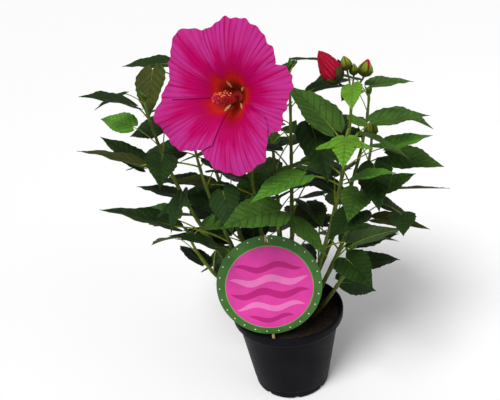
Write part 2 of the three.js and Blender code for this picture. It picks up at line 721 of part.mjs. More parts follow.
function keepRoomForTheRest() {
  const [x, y] = [vec(1, 0, 0), vec(0, 1, 0)];
  const budTip = stemPoint(stemNamed('bud'), 1);
  const rightTip = stemPoint(stemNamed('right'), 1);
  taken.push(
    ...ringBalls(vec(0, 0, POT.height - 3), x, y, POT.rimRadius - 3, 6),
    ...discBalls(vec(0, 0, SOIL_TOP - 4), x, y, 86, 5),
    ...discBalls(labelCentre, x, labelUp, LABEL.radius, 5),
    ...rodBalls(pegFoot, pegMiddle, 4),
    ...discBalls(throat, bloomRight, bloomUp, BLOOM.radius, 6, funnel),
    ...rodBalls(calyxBase, throat, 9),
    ...rodBalls(stemPoint(stemNamed('bloom'), 1), calyxBase, 4),
  );
  for (const { tip, base, radius } of BUDS) {
    taken.push(...rodBalls(vec(...base), vec(...tip), radius));
    taken.push(...rodBalls(budTip, vec(...base), 3));
  }
  taken.push(...rodBalls(rightTip, along(rightTip, [UP, SIDE_BUD.rise]), SIDE_BUD.radius));
  for (const stem of STEMS) {
    const count = Math.ceil(stem.height / KEEP.step);
    for (let k = 0; k <= count; k += 1) taken.push([stemPoint(stem, k / count), KEEP.stem]);
  }
  const sight = polar(SIGHT.azimuth, SIGHT.elevation);
  for (let k = 1; k <= SIGHT.discs; k += 1) {
    const away = k * SIGHT.step;
    const radius = LABEL.radius - away * SIGHT.narrowing;
    const centre = along(labelCentre, [sight, away]);
    taken.push(...discBalls(centre, x, labelUp, radius, SIGHT.ball));
  }
  taken.push(...setLeaves.flatMap(ballsOfLeaf));
}

buildPot();
buildSoil();
buildLabel();
buildPeg();
buildBloom();
buildBuds();
buildSideBud();
keepRoomForTheRest();
STEMS.forEach(buildStem);
STEMS.forEach(buildFoliage);

export default group;
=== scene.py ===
import functools
import math

import bmesh
import bpy
import numpy as np
from mathutils import Matrix


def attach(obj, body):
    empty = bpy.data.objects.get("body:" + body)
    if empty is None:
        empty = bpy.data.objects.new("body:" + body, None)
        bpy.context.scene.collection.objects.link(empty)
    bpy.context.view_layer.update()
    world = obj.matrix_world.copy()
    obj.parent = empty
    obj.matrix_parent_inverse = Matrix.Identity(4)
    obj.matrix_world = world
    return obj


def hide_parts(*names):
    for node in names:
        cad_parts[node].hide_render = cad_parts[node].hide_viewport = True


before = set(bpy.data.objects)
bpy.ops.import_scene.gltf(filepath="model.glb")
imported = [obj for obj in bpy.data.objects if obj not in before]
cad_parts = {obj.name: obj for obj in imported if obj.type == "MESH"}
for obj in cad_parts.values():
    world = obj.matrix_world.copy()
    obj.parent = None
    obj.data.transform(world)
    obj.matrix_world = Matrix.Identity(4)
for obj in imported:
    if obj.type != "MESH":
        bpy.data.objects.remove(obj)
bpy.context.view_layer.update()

bl_info = {
    "name": "Potted Hibiscus Shrub",
    "version": (1, 0, 0),
    "blender": (4, 5, 0),
    "location": "View3D > Sidebar > Shrub",
    "description": "Dresses a potted hibiscus shrub: pot, stems, leaves, bloom, buds and label",
    "category": "Add Mesh",
}

# Sizes are in millimetres, +Z up, from the centre of the pot's flat underside.
# Those of the settings and the stage are in metres.
MM = 0.001
METRE = 1000
UP = np.array((0.0, 0.0, 1.0))

POT = dict(
    height=150, rim_radius=95, rim_band=18, body_top=86.5, body_foot=67.5,
    foot_radius=65, foot_height=15, wall=2.5, floor=3, notches=8, notch_radius=5, notch_depth=2,
)
SOIL_TOP = 134
# The compost's uneven top: how many waves, how tight and how high they are.
HEAP = dict(seed=11, waves=26, turns=0.16, height=0.22)
# How far the compost and the peg stand off what is next to them, and how far from
# its axis a turned solid ends.
CLEARANCE, AXIS_HOLE = 0.3, 0.05

STEM_COLUMNS = ("name", "azimuth", "foot", "spread", "height", "bow", "first", "leaves", "seed")
STEMS = [dict(zip(STEM_COLUMNS, row)) for row in (
    ("bud", 331, 24, 122, 385, 1.5, 0.14, 7, 949),
    ("bloom", 168, 20, 48, 352, 1.2, 0.22, 9, 1241),
    ("left_inner", 196, 26, 122, 330, 1.5, 0.18, 9, 1067),
    ("left", 182, 32, 184, 392, 1.6, 0.24, 10, 1024),
    ("right", 352, 32, 142, 312, 1.5, 0.2, 9, 1378),
    ("middle", 62, 16, 62, 405, 1.3, 0.22, 13, 813),
    ("back_right", 32, 30, 185, 345, 1.6, 0.22, 12, 1373),
    ("back_left", 140, 32, 165, 385, 1.6, 0.22, 12, 1053),
    ("back", 92, 34, 150, 335, 1.6, 0.22, 12, 1077),
    ("low_left", 201, 38, 150, 190, 1.4, 0.2, 8, 744),
    ("low_right", 340, 44, 110, 125, 1.4, 0.25, 6, 338),
    ("low_front", 262, 30, 40, 215, 1.4, 0.4, 6, 1143),
)]
FLOWERING = ("bud", "bloom", "right")
# Radii of a stem at its foot and its tip, how deep it starts in the compost, and how
# it thickens at its foot and where a leaf leaves it.
STEM = dict(foot=4.2, tip=1.9, sunk=2, flare=1.6, flare_height=7, knot=0.6, knot_reach=4.5)

# The leaves that mark the front of the shrub, each with the green that it gets: deep is painted shade and
# bright is painted light.
SET_SHAPE = dict(curl=16, fold=9)
SET_COLUMNS = (
    "stem", "t", "azimuth", "rise", "reach", "turn", "length", "dip", "roll", "lobed", "tone",
)
SET_LEAVES = [dict(zip(SET_COLUMNS, row)) for row in (
    ("bud", 0.98, -96, 39, 60, -3, 45, 26, 13, False, "fresh"),
    ("bud", 0.89, -103, 5, 53, 3, 82, 6, 0, True, "fresh"),
    ("bud", 0.98, 29, 29, 40, -10, 66, 3, 6, False, "mid"),
    ("bud", 0.83, 10, 34, 49, 0, 81, 0, 9, False, "mid"),
    ("bud", 0.73, 4, 23, 68, 11, 72, -6, 4, False, "bright"),
    ("bud", 0.67, -81, 26, 58, 40, 73, -22, 4, False, "bright"),
    ("bud", 0.52, 12, 25, 74, 15, 79, -8, 6, False, "mid"),
    ("bud", 0.37, -40, 26, 62, 8, 88, -29, -44, False, "mid"),
    ("bud", 0.66, -154, 27, 67, 10, 95, 5, 0, False, "bright"),
    ("bud", 0.8, 124, 44, 40, 13, 101, -35, -8, False, "mid"),
    ("bud", 0.81, 75, 25, 58, -40, 49, 23, 24, False, "fresh"),
    ("bloom", 0.63, 176, 19, 72, -14, 70, -4, -1, False, "olive"),
    ("left_inner", 0.48, -173, 26, 92, -6, 118, -21, 8, False, "deep"),
    ("left_inner", 0.89, -169, 10, 86, -17, 96, -18, 12, False, "olive"),
    ("left", 0.68, 170, 24, 53, -11, 83, -35, -1, False, "deep"),
    ("left", 0.82, 157, 34, 52, -4, 62, -9, -32, False, "bright"),
    ("left", 0.92, -104, 41, 55, -32, 85, -24, -14, False, "deep"),
    ("left", 0.78, 90, 31, 62, 71, 73, 16, -40, False, "deep"),
    ("right", 0.33, 20, 32, 49, -2, 79, 2, 3, False, "deep"),
    ("right", 0.69, -53, 2, 83, -47, 62, 1, 1, False, "deep"),
    ("right", 0.6, -88, 31, 66, -44, 81, 6, -6, False, "deep"),
    ("middle", 0.74, -60, 29, 68, -19, 99, 37, -6, False, "deep"),
    ("back_left", 0.98, 170, 49, 56, 5, 79, -2, -12, False, "deep"),
    ("back_left", 0.98, -137, 33, 85, 40, 85, 47, 13, False, "olive"),
    ("low_left", 0.62, -70, 56, 83, -80, 72, -34, -6, False, "deep"),
    ("low_right", 0.81, -97, 46, 70, 25, 85, 1, 21, False, "deep"),
    ("low_front", 0.85, -86, 49, 76, -54, 103, -8, -24, False, "mid"),
)]

# Pairs run from the foot to the tip of a stem, or from the least to the most. A
# spread is what chance adds, a width is a share of the length, and lobed is the
# share of leaves that have side lobes.
LEAF = dict(
    last=0.985, turn=137.5, turn_spread=50, light=0.25, lobed=0.1, width=0.31, arch=0.08,
    length=(104, 64), length_spread=(0.8, 1.2), stalk=(88, 28), stalk_spread=(0.65, 1.3),
    rise=(16, 44), rise_spread=26, roll=(66, 40), twist=44, dip=(-8, 30), curl=(6, 32), fold=(3, 20),
)
YOUNG = dict(
    seed=31, count=4, step=0.004, turn_spread=40, width=0.26, length=(19, 11),
    length_spread=(0.85, 1.15), stalk=(8, 4), rise=(58, 78), roll=30, dip=(-78, -52),
    curl=(4, 14), fold=(24, 44),
)
SWINGS = (0, 20, -20, 40, -40, 60, -60, 85, -85)

# Radii of the balls that keep leaves clear of what is in place, the steps between
# balls, the stretch of a stalk next to its stem that has none, how far off balls
# are looked for, and where those of the rim and the compost stand.
KEEP = dict(
    blade=4.2, stalk=2.2, stem=4.5, rim=6, soil=5, label=5, peg=4, bloom=6, calyx=9,
    flower_stalk=4, bud_stalk=3, step=9, stalk_step=5, free=10, near=20,
    rim_inset=3, soil_radius=86, soil_depth=4,
)
# The label stays in sight from the front: discs of balls in front of its face.
SIGHT = dict(azimuth=-88, elevation=33, discs=13, step=12, narrowing=0.1, ball=5)

BLOOM = dict(throat=(-53, -60, 536), azimuth=-112, elevation=14, radius=112, neck=7, calyx=48, column=52)
FUNNEL = dict(depth=-18, rise=46, ease=26)
# Petals: direction, that of its claw, reach round to each side, and the edge's
# radius across it.
PETALS = (
    (-4, 2, (47, 40), (62, 76, 88, 86, 88, 94, 99, 92, 74)),
    (78, 74, (47, 40), (84, 90, 94, 101, 101, 101, 95, 86, 72)),
    (141, 146, (47, 42), (70, 90, 98, 111, 102, 94, 86, 83, 78)),
    (208, 218, (47, 47), (76, 91, 98, 115, 107, 107, 95, 80, 66)),
    (276, 290, (47, 62), (62, 76, 88, 97, 104, 104, 98, 80, 62)),
)
# Directions of the slits between the petals' claws.
CLAW_SLITS = (37, 109.5, 174.5, 242, 316)
PLEATS_ROUND = 74

BUDS = (
    dict(tip=(66, -50, 585), base=(91, -52, 541), radius=15, kind="furled"),
    dict(tip=(99, -48, 575), base=(103, -50, 556), radius=8, kind="green"),
    dict(tip=(113, -44, 563), base=(112, -48, 548), radius=6, kind="green"),
    dict(tip=(131, -50, 569), base=(125, -51, 546), radius=10, kind="opening"),
)
SIDE_BUD = dict(rise=24, radius=9)

LABEL = dict(centre=(-26, -60, 231), radius=83, lean=10, thickness=1.5, notch=(6, 12))
# The label's print: a round field with wavy bands, given by height and half-width,
# a ring of dots round it, and how high the layers stand off the card.
PRINT = dict(
    middle=-3, radius=70, line=1.5, inset=7, bands=((34, 5), (12, 6), (-10, 6), (-32, 5), (-52, 4)),
    wave=4.2, stretch=10, shift=1.3, dots=26, dot=1.1, dot_ring=78.5, layers=(0.1, 0.18, 0.26),
)
PEG_RADIUS = 2.5

# The bloom's column: its radii and sag, where on it the stamens start, how much of
# it they take up, and how far they reach.
COLUMN = dict(radius=(3.4, 1.6), sag=3.0, first=0.44, bearing=0.46, stamen=(6.4, 9.4))

# The camera's turns are in degrees.
CAMERA = dict(place=(0, -0.829, 0.735), yaw=-3.2, pitch=24.7, roll=-5.6, sensor=36)
LAMPS_AIM = (0, 0, 0.35)
KEY = dict(place=(-0.9, -1.5, 2.6), angle=math.radians(28))
FILL = dict(place=(1.9, -1.2, 1.3), size=1.6)
FLOOR_REACH = 60


# ------------------------------------------------------------ the shrub's rule

def lerp(a, b, share):
    return a + (b - a) * share


def vec(*values):
    return np.array(values, float)


def unit(v):
    return v / np.linalg.norm(v, axis=-1, keepdims=True)


def polar(azimuth, elevation=0.0):
    a, e = math.radians(azimuth), math.radians(elevation)
    return vec(math.cos(a) * math.cos(e), math.sin(a) * math.cos(e), math.sin(e))


MASK = 0xFFFFFFFF


def seeded(seed):
    """The stems' random numbers: the same draws as the solids take."""
    state = seed & MASK

    def times(a, b):
        return (a * b) & MASK

    def draw():
        nonlocal state
        state = (state + 0x6D2B79F5) & MASK
        t = times(state ^ (state >> 15), state | 1)
        t ^= (t + times(t ^ (t >> 7), t | 61)) & MASK
        return ((t ^ (t >> 14)) & MASK) / 2**32

    return draw


def stem_named(name):
    return next(stem for stem in STEMS if stem["name"] == name)


def stem_point(stem, t):
    """A point of a stem's middle line, at share t of its height."""
    reach = lerp(stem["foot"], stem["spread"], 1 - (1 - min(t, 1)) ** stem["bow"])
    return polar(stem["azimuth"]) * reach + vec(0, 0, SOIL_TOP + stem["height"] * t)


def stem_end(name):
    """A stem's tip and the way it points."""
    stem = stem_named(name)
    tip = stem_point(stem, 1)
    return tip, unit(tip - stem_point(stem, 0.999))


# Side lobes: where they stand on a blade, how wide they are along it and how far
# ahead they reach, for plain lobes and for pointed ones.
LOBE_PLACE = 0.33
LOBE_WIDTH = {True: 0.09, "pointed": 0.06}
LOBE_AHEAD = {True: 0.16, "pointed": 0.27}


def lobe(s, lobed):
    """How much of a side lobe there is at share s of a blade."""
    return np.exp(-(((s - LOBE_PLACE) / LOBE_WIDTH[lobed]) ** 2))


def half_width(s, lobed):
    """Half a blade's width at share s, where 1 is its widest without lobes."""
    s = np.clip(s, 0, 1)
    oval = 2.71 * s**0.45 * (1 - s) ** 1.3
    return oval * (0.72 + 0.75 * lobe(s, lobed)) if lobed else oval


def blade_frame(leaf, s):
    """Midrib points, ways forward, ways to the side and normals at shares s of a blade."""
    out = polar(leaf["azimuth"])
    level = vec(-out[1], out[0], 0)
    start = math.radians(0.4 * leaf["curl"] - leaf["dip"])
    bend = math.radians(leaf["curl"])
    slope = (start - bend * s)[..., None]
    run = leaf["length"] * (math.sin(start) - np.sin(slope)) / bend
    rise = leaf["length"] * (np.cos(slope) - math.cos(start)) / bend
    forward = out * np.cos(slope) + UP * np.sin(slope)
    lift = UP * np.cos(slope) - out * np.sin(slope)
    roll = math.radians(leaf["roll"])
    side = level * math.cos(roll) + lift * math.sin(roll)
    normal = lift * math.cos(roll) - level * math.sin(roll)
    return leaf["base"] + out * run + UP * rise, forward, side, normal


def blade_points(leaf, s, u, teeth=0.0, raised=0.0):
    """Points of a blade: s from its base to its tip, u across it from -1 to 1."""
    s, u = np.broadcast_arrays(s, u)
    rib, forward, side, normal = blade_frame(leaf, s)
    across = np.abs(u)
    half = leaf["width"] * half_width(s, leaf["lobed"]) * (1 + teeth * across**4)
    fold = math.radians(leaf["fold"])
    back = 0.13 * (1 - s) ** 6
    if leaf["lobed"]:
        back = back - LOBE_AHEAD[leaf["lobed"]] * lobe(s, leaf["lobed"])
    return (
        rib
        - forward * (back * leaf["length"] * across)[..., None]
        + side * (u * half * math.cos(fold))[..., None]
        + normal * (across * half * math.sin(fold) + raised)[..., None]
    )


def stalk_point(leaf, share):
    """A point of a leaf's stalk, which arches up a little."""
    span = leaf["base"] - leaf["foot"]
    arch = 4 * share * (1 - share) * LEAF["arch"] * np.linalg.norm(span)
    return leaf["foot"] + span * share + UP * arch


def draw_leaf(stem, i, random, phase):
    """One leaf of a stem, from its place on the stem and ten random numbers."""
    t = stem["first"] + (LEAF["last"] - stem["first"]) * (i / (stem["leaves"] - 1))
    free = phase + i * LEAF["turn"] + (random() - 0.5) * LEAF["turn_spread"]
    away = (free - stem["azimuth"] + 180) % 360 - 180
    leaf = dict(t=t, foot=stem_point(stem, t), azimuth=stem["azimuth"] + away * (1 - LEAF["light"]))
    leaf["reach"] = lerp(*LEAF["stalk"], t) * lerp(*LEAF["stalk_spread"], random())
    leaf["rise"] = lerp(*LEAF["rise"], t) + (random() - 0.5) * LEAF["rise_spread"]
    leaf["length"] = lerp(*LEAF["length"], t * t) * lerp(*LEAF["length_spread"], random())
    leaf["dip"] = lerp(*LEAF["dip"], random())
    leaf["roll"] = (random() - 0.5) * lerp(*LEAF["roll"], t)
    leaf["curl"] = lerp(*LEAF["curl"], random())
    leaf["fold"] = lerp(*LEAF["fold"], random())
    leaf["turn"] = (random() - 0.5) * LEAF["twist"]
    leaf["lobed"] = random() < LEAF["lobed"]
    leaf["width"] = leaf["length"] * LEAF["width"]
    return leaf


def swung(leaf, swing):
    """The leaf swung round its stem, with its blade at the end of its stalk."""
    base = leaf["foot"] + polar(leaf["azimuth"] + swing, leaf["rise"]) * leaf["reach"]
    return {**leaf, "base": base, "azimuth": leaf["azimuth"] + swing + leaf["turn"]}


@functools.cache
def set_leaves():
    """The leaves of the table, each at the end of its stalk."""
    leaves = []
    for leaf in SET_LEAVES:
        foot = stem_point(stem_named(leaf["stem"]), leaf["t"])
        width = leaf["length"] * LEAF["width"]
        leaves.append(swung({**leaf, **SET_SHAPE, "foot": foot, "width": width}, 0))
    return leaves


# ---------------------------------------------------------- room for each leaf

class Room:
    """Balls round everything that is already in place."""

    def __init__(self):
        self.centres, self.radii = np.zeros((0, 3)), np.zeros(0)

    def take(self, centres, radii):
        centres = np.asarray(centres, float).reshape(-1, 3)
        self.centres = np.concatenate([self.centres, centres])
        self.radii = np.concatenate([self.radii, np.broadcast_to(radii, len(centres))])

    def clear(self, centres, radii):
        low, high = centres.min(0) - KEEP["near"], centres.max(0) + KEEP["near"]
        near = ((self.centres > low) & (self.centres < high)).all(1)
        apart = ((centres[:, None] - self.centres[near][None]) ** 2).sum(-1)
        return not (apart < (radii[:, None] + self.radii[near][None]) ** 2).any()


def balls_of_leaf(leaf):
    """Balls all over a leaf's blade and along its stalk."""
    blade = blade_points(leaf, np.arange(13)[:, None] / 12, np.arange(9) / 4 - 1).reshape(-1, 3)
    span = np.linalg.norm(leaf["base"] - leaf["foot"])
    count = math.ceil((span - KEEP["free"]) / KEEP["stalk_step"])
    shares = [(KEEP["free"] + (span - KEEP["free"]) * k / count) / span for k in range(count)]
    stalk = np.array([stalk_point(leaf, share) for share in shares])
    radii = np.repeat([KEEP["blade"], KEEP["stalk"]], [len(blade), len(stalk)])
    return np.concatenate([blade, stalk]), radii


def ring(centre, x, y, radius):
    """Points round a circle in the plane of x and y."""
    count = max(1, math.ceil(2 * math.pi * radius / KEEP["step"]))
    a = 2 * np.pi * np.arange(count)[:, None] / count
    return centre + x * radius * np.cos(a) + y * radius * np.sin(a)


def disc(centre, x, y, radius, lift=lambda r: 0):
    """Points all over a disc, lifted off its plane by their radius."""
    rings = math.ceil(radius / KEEP["step"])
    radii = [radius * k / rings for k in range(rings + 1)]
    return np.concatenate([ring(centre + np.cross(x, y) * lift(r), x, y, r) for r in radii])


def rod(start, end):
    """Points along a straight line."""
    count = math.ceil(np.linalg.norm(end - start) / KEEP["step"])
    return start + (end - start) * np.arange(count + 1)[:, None] / count


THROAT = vec(*BLOOM["throat"])
BLOOM_AXIS = polar(BLOOM["azimuth"], BLOOM["elevation"])
BLOOM_RIGHT = unit(np.cross(UP, BLOOM_AXIS))
BLOOM_UP = np.cross(BLOOM_AXIS, BLOOM_RIGHT)
CALYX_BASE = THROAT - BLOOM_AXIS * BLOOM["calyx"]

LEAN = math.radians(LABEL["lean"])
LABEL_UP = vec(0, math.sin(LEAN), math.cos(LEAN))
LABEL_BACK = vec(0, math.cos(LEAN), -math.sin(LEAN))
LABEL_CENTRE = vec(*LABEL["centre"])
PEG_MIDDLE = LABEL_CENTRE + LABEL_BACK * (LABEL["thickness"] / 2 + CLEARANCE + PEG_RADIUS)
PEG_FOOT = PEG_MIDDLE - LABEL_UP * ((PEG_MIDDLE[2] - SOIL_TOP - CLEARANCE) / LABEL_UP[2])


def funnel(radius):
    """How high the bloom's face stands above its throat at a radius."""
    out = np.maximum(radius, BLOOM["neck"]) - BLOOM["neck"]
    return FUNNEL["depth"] + FUNNEL["rise"] * (1 - np.exp(-out / FUNNEL["ease"]))


def room_for_the_rest():
    """The room that all but the seeded leaves takes up."""
    room, x, y = Room(), vec(1, 0, 0), vec(0, 1, 0)
    rim = vec(0, 0, POT["height"] - KEEP["rim_inset"])
    room.take(ring(rim, x, y, POT["rim_radius"] - KEEP["rim_inset"]), KEEP["rim"])
    room.take(disc(vec(0, 0, SOIL_TOP - KEEP["soil_depth"]), x, y, KEEP["soil_radius"]), KEEP["soil"])
    room.take(disc(LABEL_CENTRE, x, LABEL_UP, LABEL["radius"]), KEEP["label"])
    room.take(rod(PEG_FOOT, PEG_MIDDLE), KEEP["peg"])
    room.take(disc(THROAT, BLOOM_RIGHT, BLOOM_UP, BLOOM["radius"], funnel), KEEP["bloom"])
    room.take(rod(CALYX_BASE, THROAT), KEEP["calyx"])
    room.take(rod(stem_end("bloom")[0], CALYX_BASE), KEEP["flower_stalk"])
    for bud in BUDS:
        tip, base = vec(*bud["tip"]), vec(*bud["base"])
        room.take(rod(base, tip), bud["radius"])
        room.take(rod(stem_end("bud")[0], base), KEEP["bud_stalk"])
    side = stem_end("right")[0]
    room.take(rod(side, side + UP * SIDE_BUD["rise"]), SIDE_BUD["radius"])
    for stem in STEMS:
        count = math.ceil(stem["height"] / KEEP["step"])
        room.take([stem_point(stem, k / count) for k in range(count + 1)], KEEP["stem"])
    sight = polar(SIGHT["azimuth"], SIGHT["elevation"])
    for k in range(1, SIGHT["discs"] + 1):
        away = k * SIGHT["step"]
        radius = LABEL["radius"] - away * SIGHT["narrowing"]
        room.take(disc(LABEL_CENTRE + sight * away, x, LABEL_UP, radius), SIGHT["ball"])
    for leaf in set_leaves():
        room.take(*balls_of_leaf(leaf))
    return room


@functools.cache
def grown():
    """Every stem's leaves: each one swings aside until it is clear, or is left out."""
    room = room_for_the_rest()
    shrub = {}
    for stem in STEMS:
        random = seeded(stem["seed"])
        phase = random() * 360
        leaves = [leaf for leaf in set_leaves() if leaf["stem"] == stem["name"]]
        for i in range(stem["leaves"]):
            drawn = draw_leaf(stem, i, random, phase)
            for swing in SWINGS:
                leaf = swung(drawn, swing)
                centres, radii = balls_of_leaf(leaf)
                if room.clear(centres, radii):
                    room.take(centres, radii)
                    leaves.append(leaf)
                    break
        shrub[stem["name"]] = leaves
    return shrub


def young_leaves(stem):
    """The small unfolding leaves round the tip of a stem without a flower."""
    random = seeded(stem["seed"] + YOUNG["seed"])
    leaves = []
    for i in range(YOUNG["count"]):
        share = i / (YOUNG["count"] - 1)
        t = LEAF["last"] + YOUNG["step"] * i
        length = lerp(*YOUNG["length"], share) * lerp(*YOUNG["length_spread"], random())
        azimuth = stem["azimuth"] + i * LEAF["turn"] + random() * YOUNG["turn_spread"]
        foot = stem_point(stem, t)
        leaf = dict(
            t=t, foot=foot, azimuth=azimuth, length=length, width=length * YOUNG["width"],
            tone="bright", lobed=False, dip=lerp(*YOUNG["dip"], random()),
            roll=(random() - 0.5) * YOUNG["roll"], curl=lerp(*YOUNG["curl"], random()),
            fold=lerp(*YOUNG["fold"], random()),
        )
        rise = lerp(*YOUNG["rise"], random())
        leaf["base"] = foot + polar(azimuth, rise) * lerp(*YOUNG["stalk"], share)
        leaves.append(leaf)
    return leaves


# --------------------------------------------------------------- making meshes

class Form:
    """Points, faces, finishes and map places of one piece, before it is a mesh."""

    def __init__(self):
        self.points, self.places, self.faces, self.finishes = [], [], [], []
        self.count = 0

    def add(self, points, blocks, finishes=0, places=None):
        """Adds blocks of faces, all of one finish or each block with its own."""
        points = np.asarray(points, float).reshape(-1, 3)
        finishes = finishes if isinstance(finishes, list) else [finishes] * len(blocks)
        for block, finish in zip(blocks, finishes):
            self.faces += (np.asarray(block) + self.count).tolist()
            self.finishes += [finish] * len(block)
        places = np.zeros((len(points), 2)) if places is None else np.reshape(places, (-1, 2))
        self.points.append(points)
        self.places.append(places)
        self.count += len(points)


@functools.cache
def sheet_faces(rows, columns):
    """Faces of a closed sheet: its top, its underside and the rim between them."""
    index = np.arange(rows * columns).reshape(rows, columns)
    top = np.stack([index[:-1, :-1], index[:-1, 1:], index[1:, 1:], index[1:, :-1]], -1)
    top = top.reshape(-1, 4)
    edge = np.concatenate([index[0, :-1], index[:-1, -1], index[-1, :0:-1], index[:0:-1, 0]])
    after = np.roll(edge, -1)
    rim = np.stack([edge, edge + rows * columns, after + rows * columns, after], -1)
    return top, top[:, ::-1] + rows * columns, rim


@functools.cache
def tube_faces(rings, sides):
    """Faces of a closed tube: its wall and its two ends."""
    index = np.arange(rings * sides).reshape(rings, sides)
    after = np.roll(index, -1, 1)
    wall = np.stack([index[:-1], after[:-1], after[1:], index[1:]], -1).reshape(-1, 4)
    return wall, index[:1, ::-1], index[-1:]


def sheet(form, grid, thickness, finishes, places=None):
    """A closed sheet of a thickness round a grid of points."""
    rows, columns = grid.shape[:2]
    normal = np.cross(np.gradient(grid, axis=0), np.gradient(grid, axis=1))
    half = unit(normal + 1e-9) * thickness / 2
    if places is None:
        places = np.stack(np.meshgrid(np.linspace(0, 1, columns), np.linspace(0, 1, rows)), -1)
    form.add(
        np.concatenate([grid + half, grid - half]).reshape(-1, 3),
        sheet_faces(rows, columns), finishes, np.concatenate([places, places]),
    )


def tube(form, points, radii, sides, finish=0, reference=None, squash=1.0):
    """A closed tapering tube through the points."""
    points = np.asarray(points, float)
    forward = unit(np.gradient(points, axis=0))
    if reference is None:
        reference = vec(1, 0, 0) if abs(forward[0][2]) > 0.7 else UP
    side = unit(np.cross(forward, reference))
    other = np.cross(side, forward)
    a = 2 * np.pi * np.arange(sides)[:, None] / sides
    radii = np.broadcast_to(radii, len(points))[:, None, None]
    rings = points[:, None] + radii * (
        side[:, None] * np.cos(a) + other[:, None] * np.sin(a) * squash
    )
    along = np.repeat(np.linspace(0, 1, len(points)), sides)
    round_it = np.tile(np.arange(sides) / sides, len(points))
    form.add(rings, tube_faces(len(points), sides), finish, np.stack([round_it, along], -1))


def square_to(axis, hint):
    """Two ways square to an axis and to each other."""
    x = unit(np.cross(axis, hint))
    return x, np.cross(axis, x)


def around(x, y, radius, turn):
    """Points round the origin in the plane of x and y."""
    return x * (radius * np.cos(turn))[..., None] + y * (radius * np.sin(turn))[..., None]


def turned(form, profile, segments, base, axis, finish=0, shape=None):
    """A closed solid of revolution; shape may change the radius by turn and height."""
    profile = np.asarray(profile, float)
    x, y = square_to(axis, vec(0.3, 0.9, 0.1))
    a = 2 * np.pi * np.arange(segments) / segments
    radius, height = np.broadcast_arrays(profile[:, 0, None], profile[:, 1, None] + 0 * a)
    if shape is not None:
        radius, height = shape(radius, height, np.broadcast_to(a, radius.shape))
    points = base + axis * height[..., None] + around(x, y, radius, a)
    along = np.broadcast_to(np.linspace(0, 1, len(profile))[:, None], radius.shape)
    places = np.stack([np.broadcast_to(a / (2 * np.pi), radius.shape), along], -1)
    form.add(points, tube_faces(len(profile), segments), finish, places)


def bezier(start, first, second, end, count):
    """Points along a curve that leaves start for first and reaches end from second."""
    t = np.linspace(0, 1, count)[:, None]
    return (
        start * (1 - t) ** 3 + first * 3 * t * (1 - t) ** 2
        + second * 3 * t**2 * (1 - t) + end * t**3
    )


def smooth_step(x, low, high):
    """0 below low, 1 above high, and an eased rise between them."""
    t = np.clip((x - low) / (high - low), 0, 1)
    return t * t * (3 - 2 * t)


def placed(name, data):
    """A new object of the scene, made of this data."""
    obj = bpy.data.objects.new(name, data)
    bpy.context.scene.collection.objects.link(obj)
    return obj


def piece(name, form, finishes, nodes, sharp=50):
    """Turns a form into an object that rides on the root and stands for CAD nodes."""
    mesh = bpy.data.meshes.new(name)
    mesh.from_pydata((np.concatenate(form.points) * MM).tolist(), [], form.faces)
    mesh.polygons.foreach_set("material_index", form.finishes)
    mesh.polygons.foreach_set("use_smooth", [True] * len(mesh.polygons))
    corners = np.zeros(len(mesh.loops), np.int32)
    mesh.loops.foreach_get("vertex_index", corners)
    places = np.concatenate(form.places)[corners]
    mesh.uv_layers.new(name="places").data.foreach_set("uv", places.ravel())
    tidy = bmesh.new()
    tidy.from_mesh(mesh)
    bmesh.ops.recalc_face_normals(tidy, faces=tidy.faces)
    tidy.to_mesh(mesh)
    tidy.free()
    mesh.set_sharp_from_angle(angle=math.radians(sharp))
    for finish in finishes:
        mesh.materials.append(finish)
    obj = placed(name, mesh)
    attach(obj, "root")
    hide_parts(*nodes)
    return obj


# ------------------------------------------------------------------- finishes

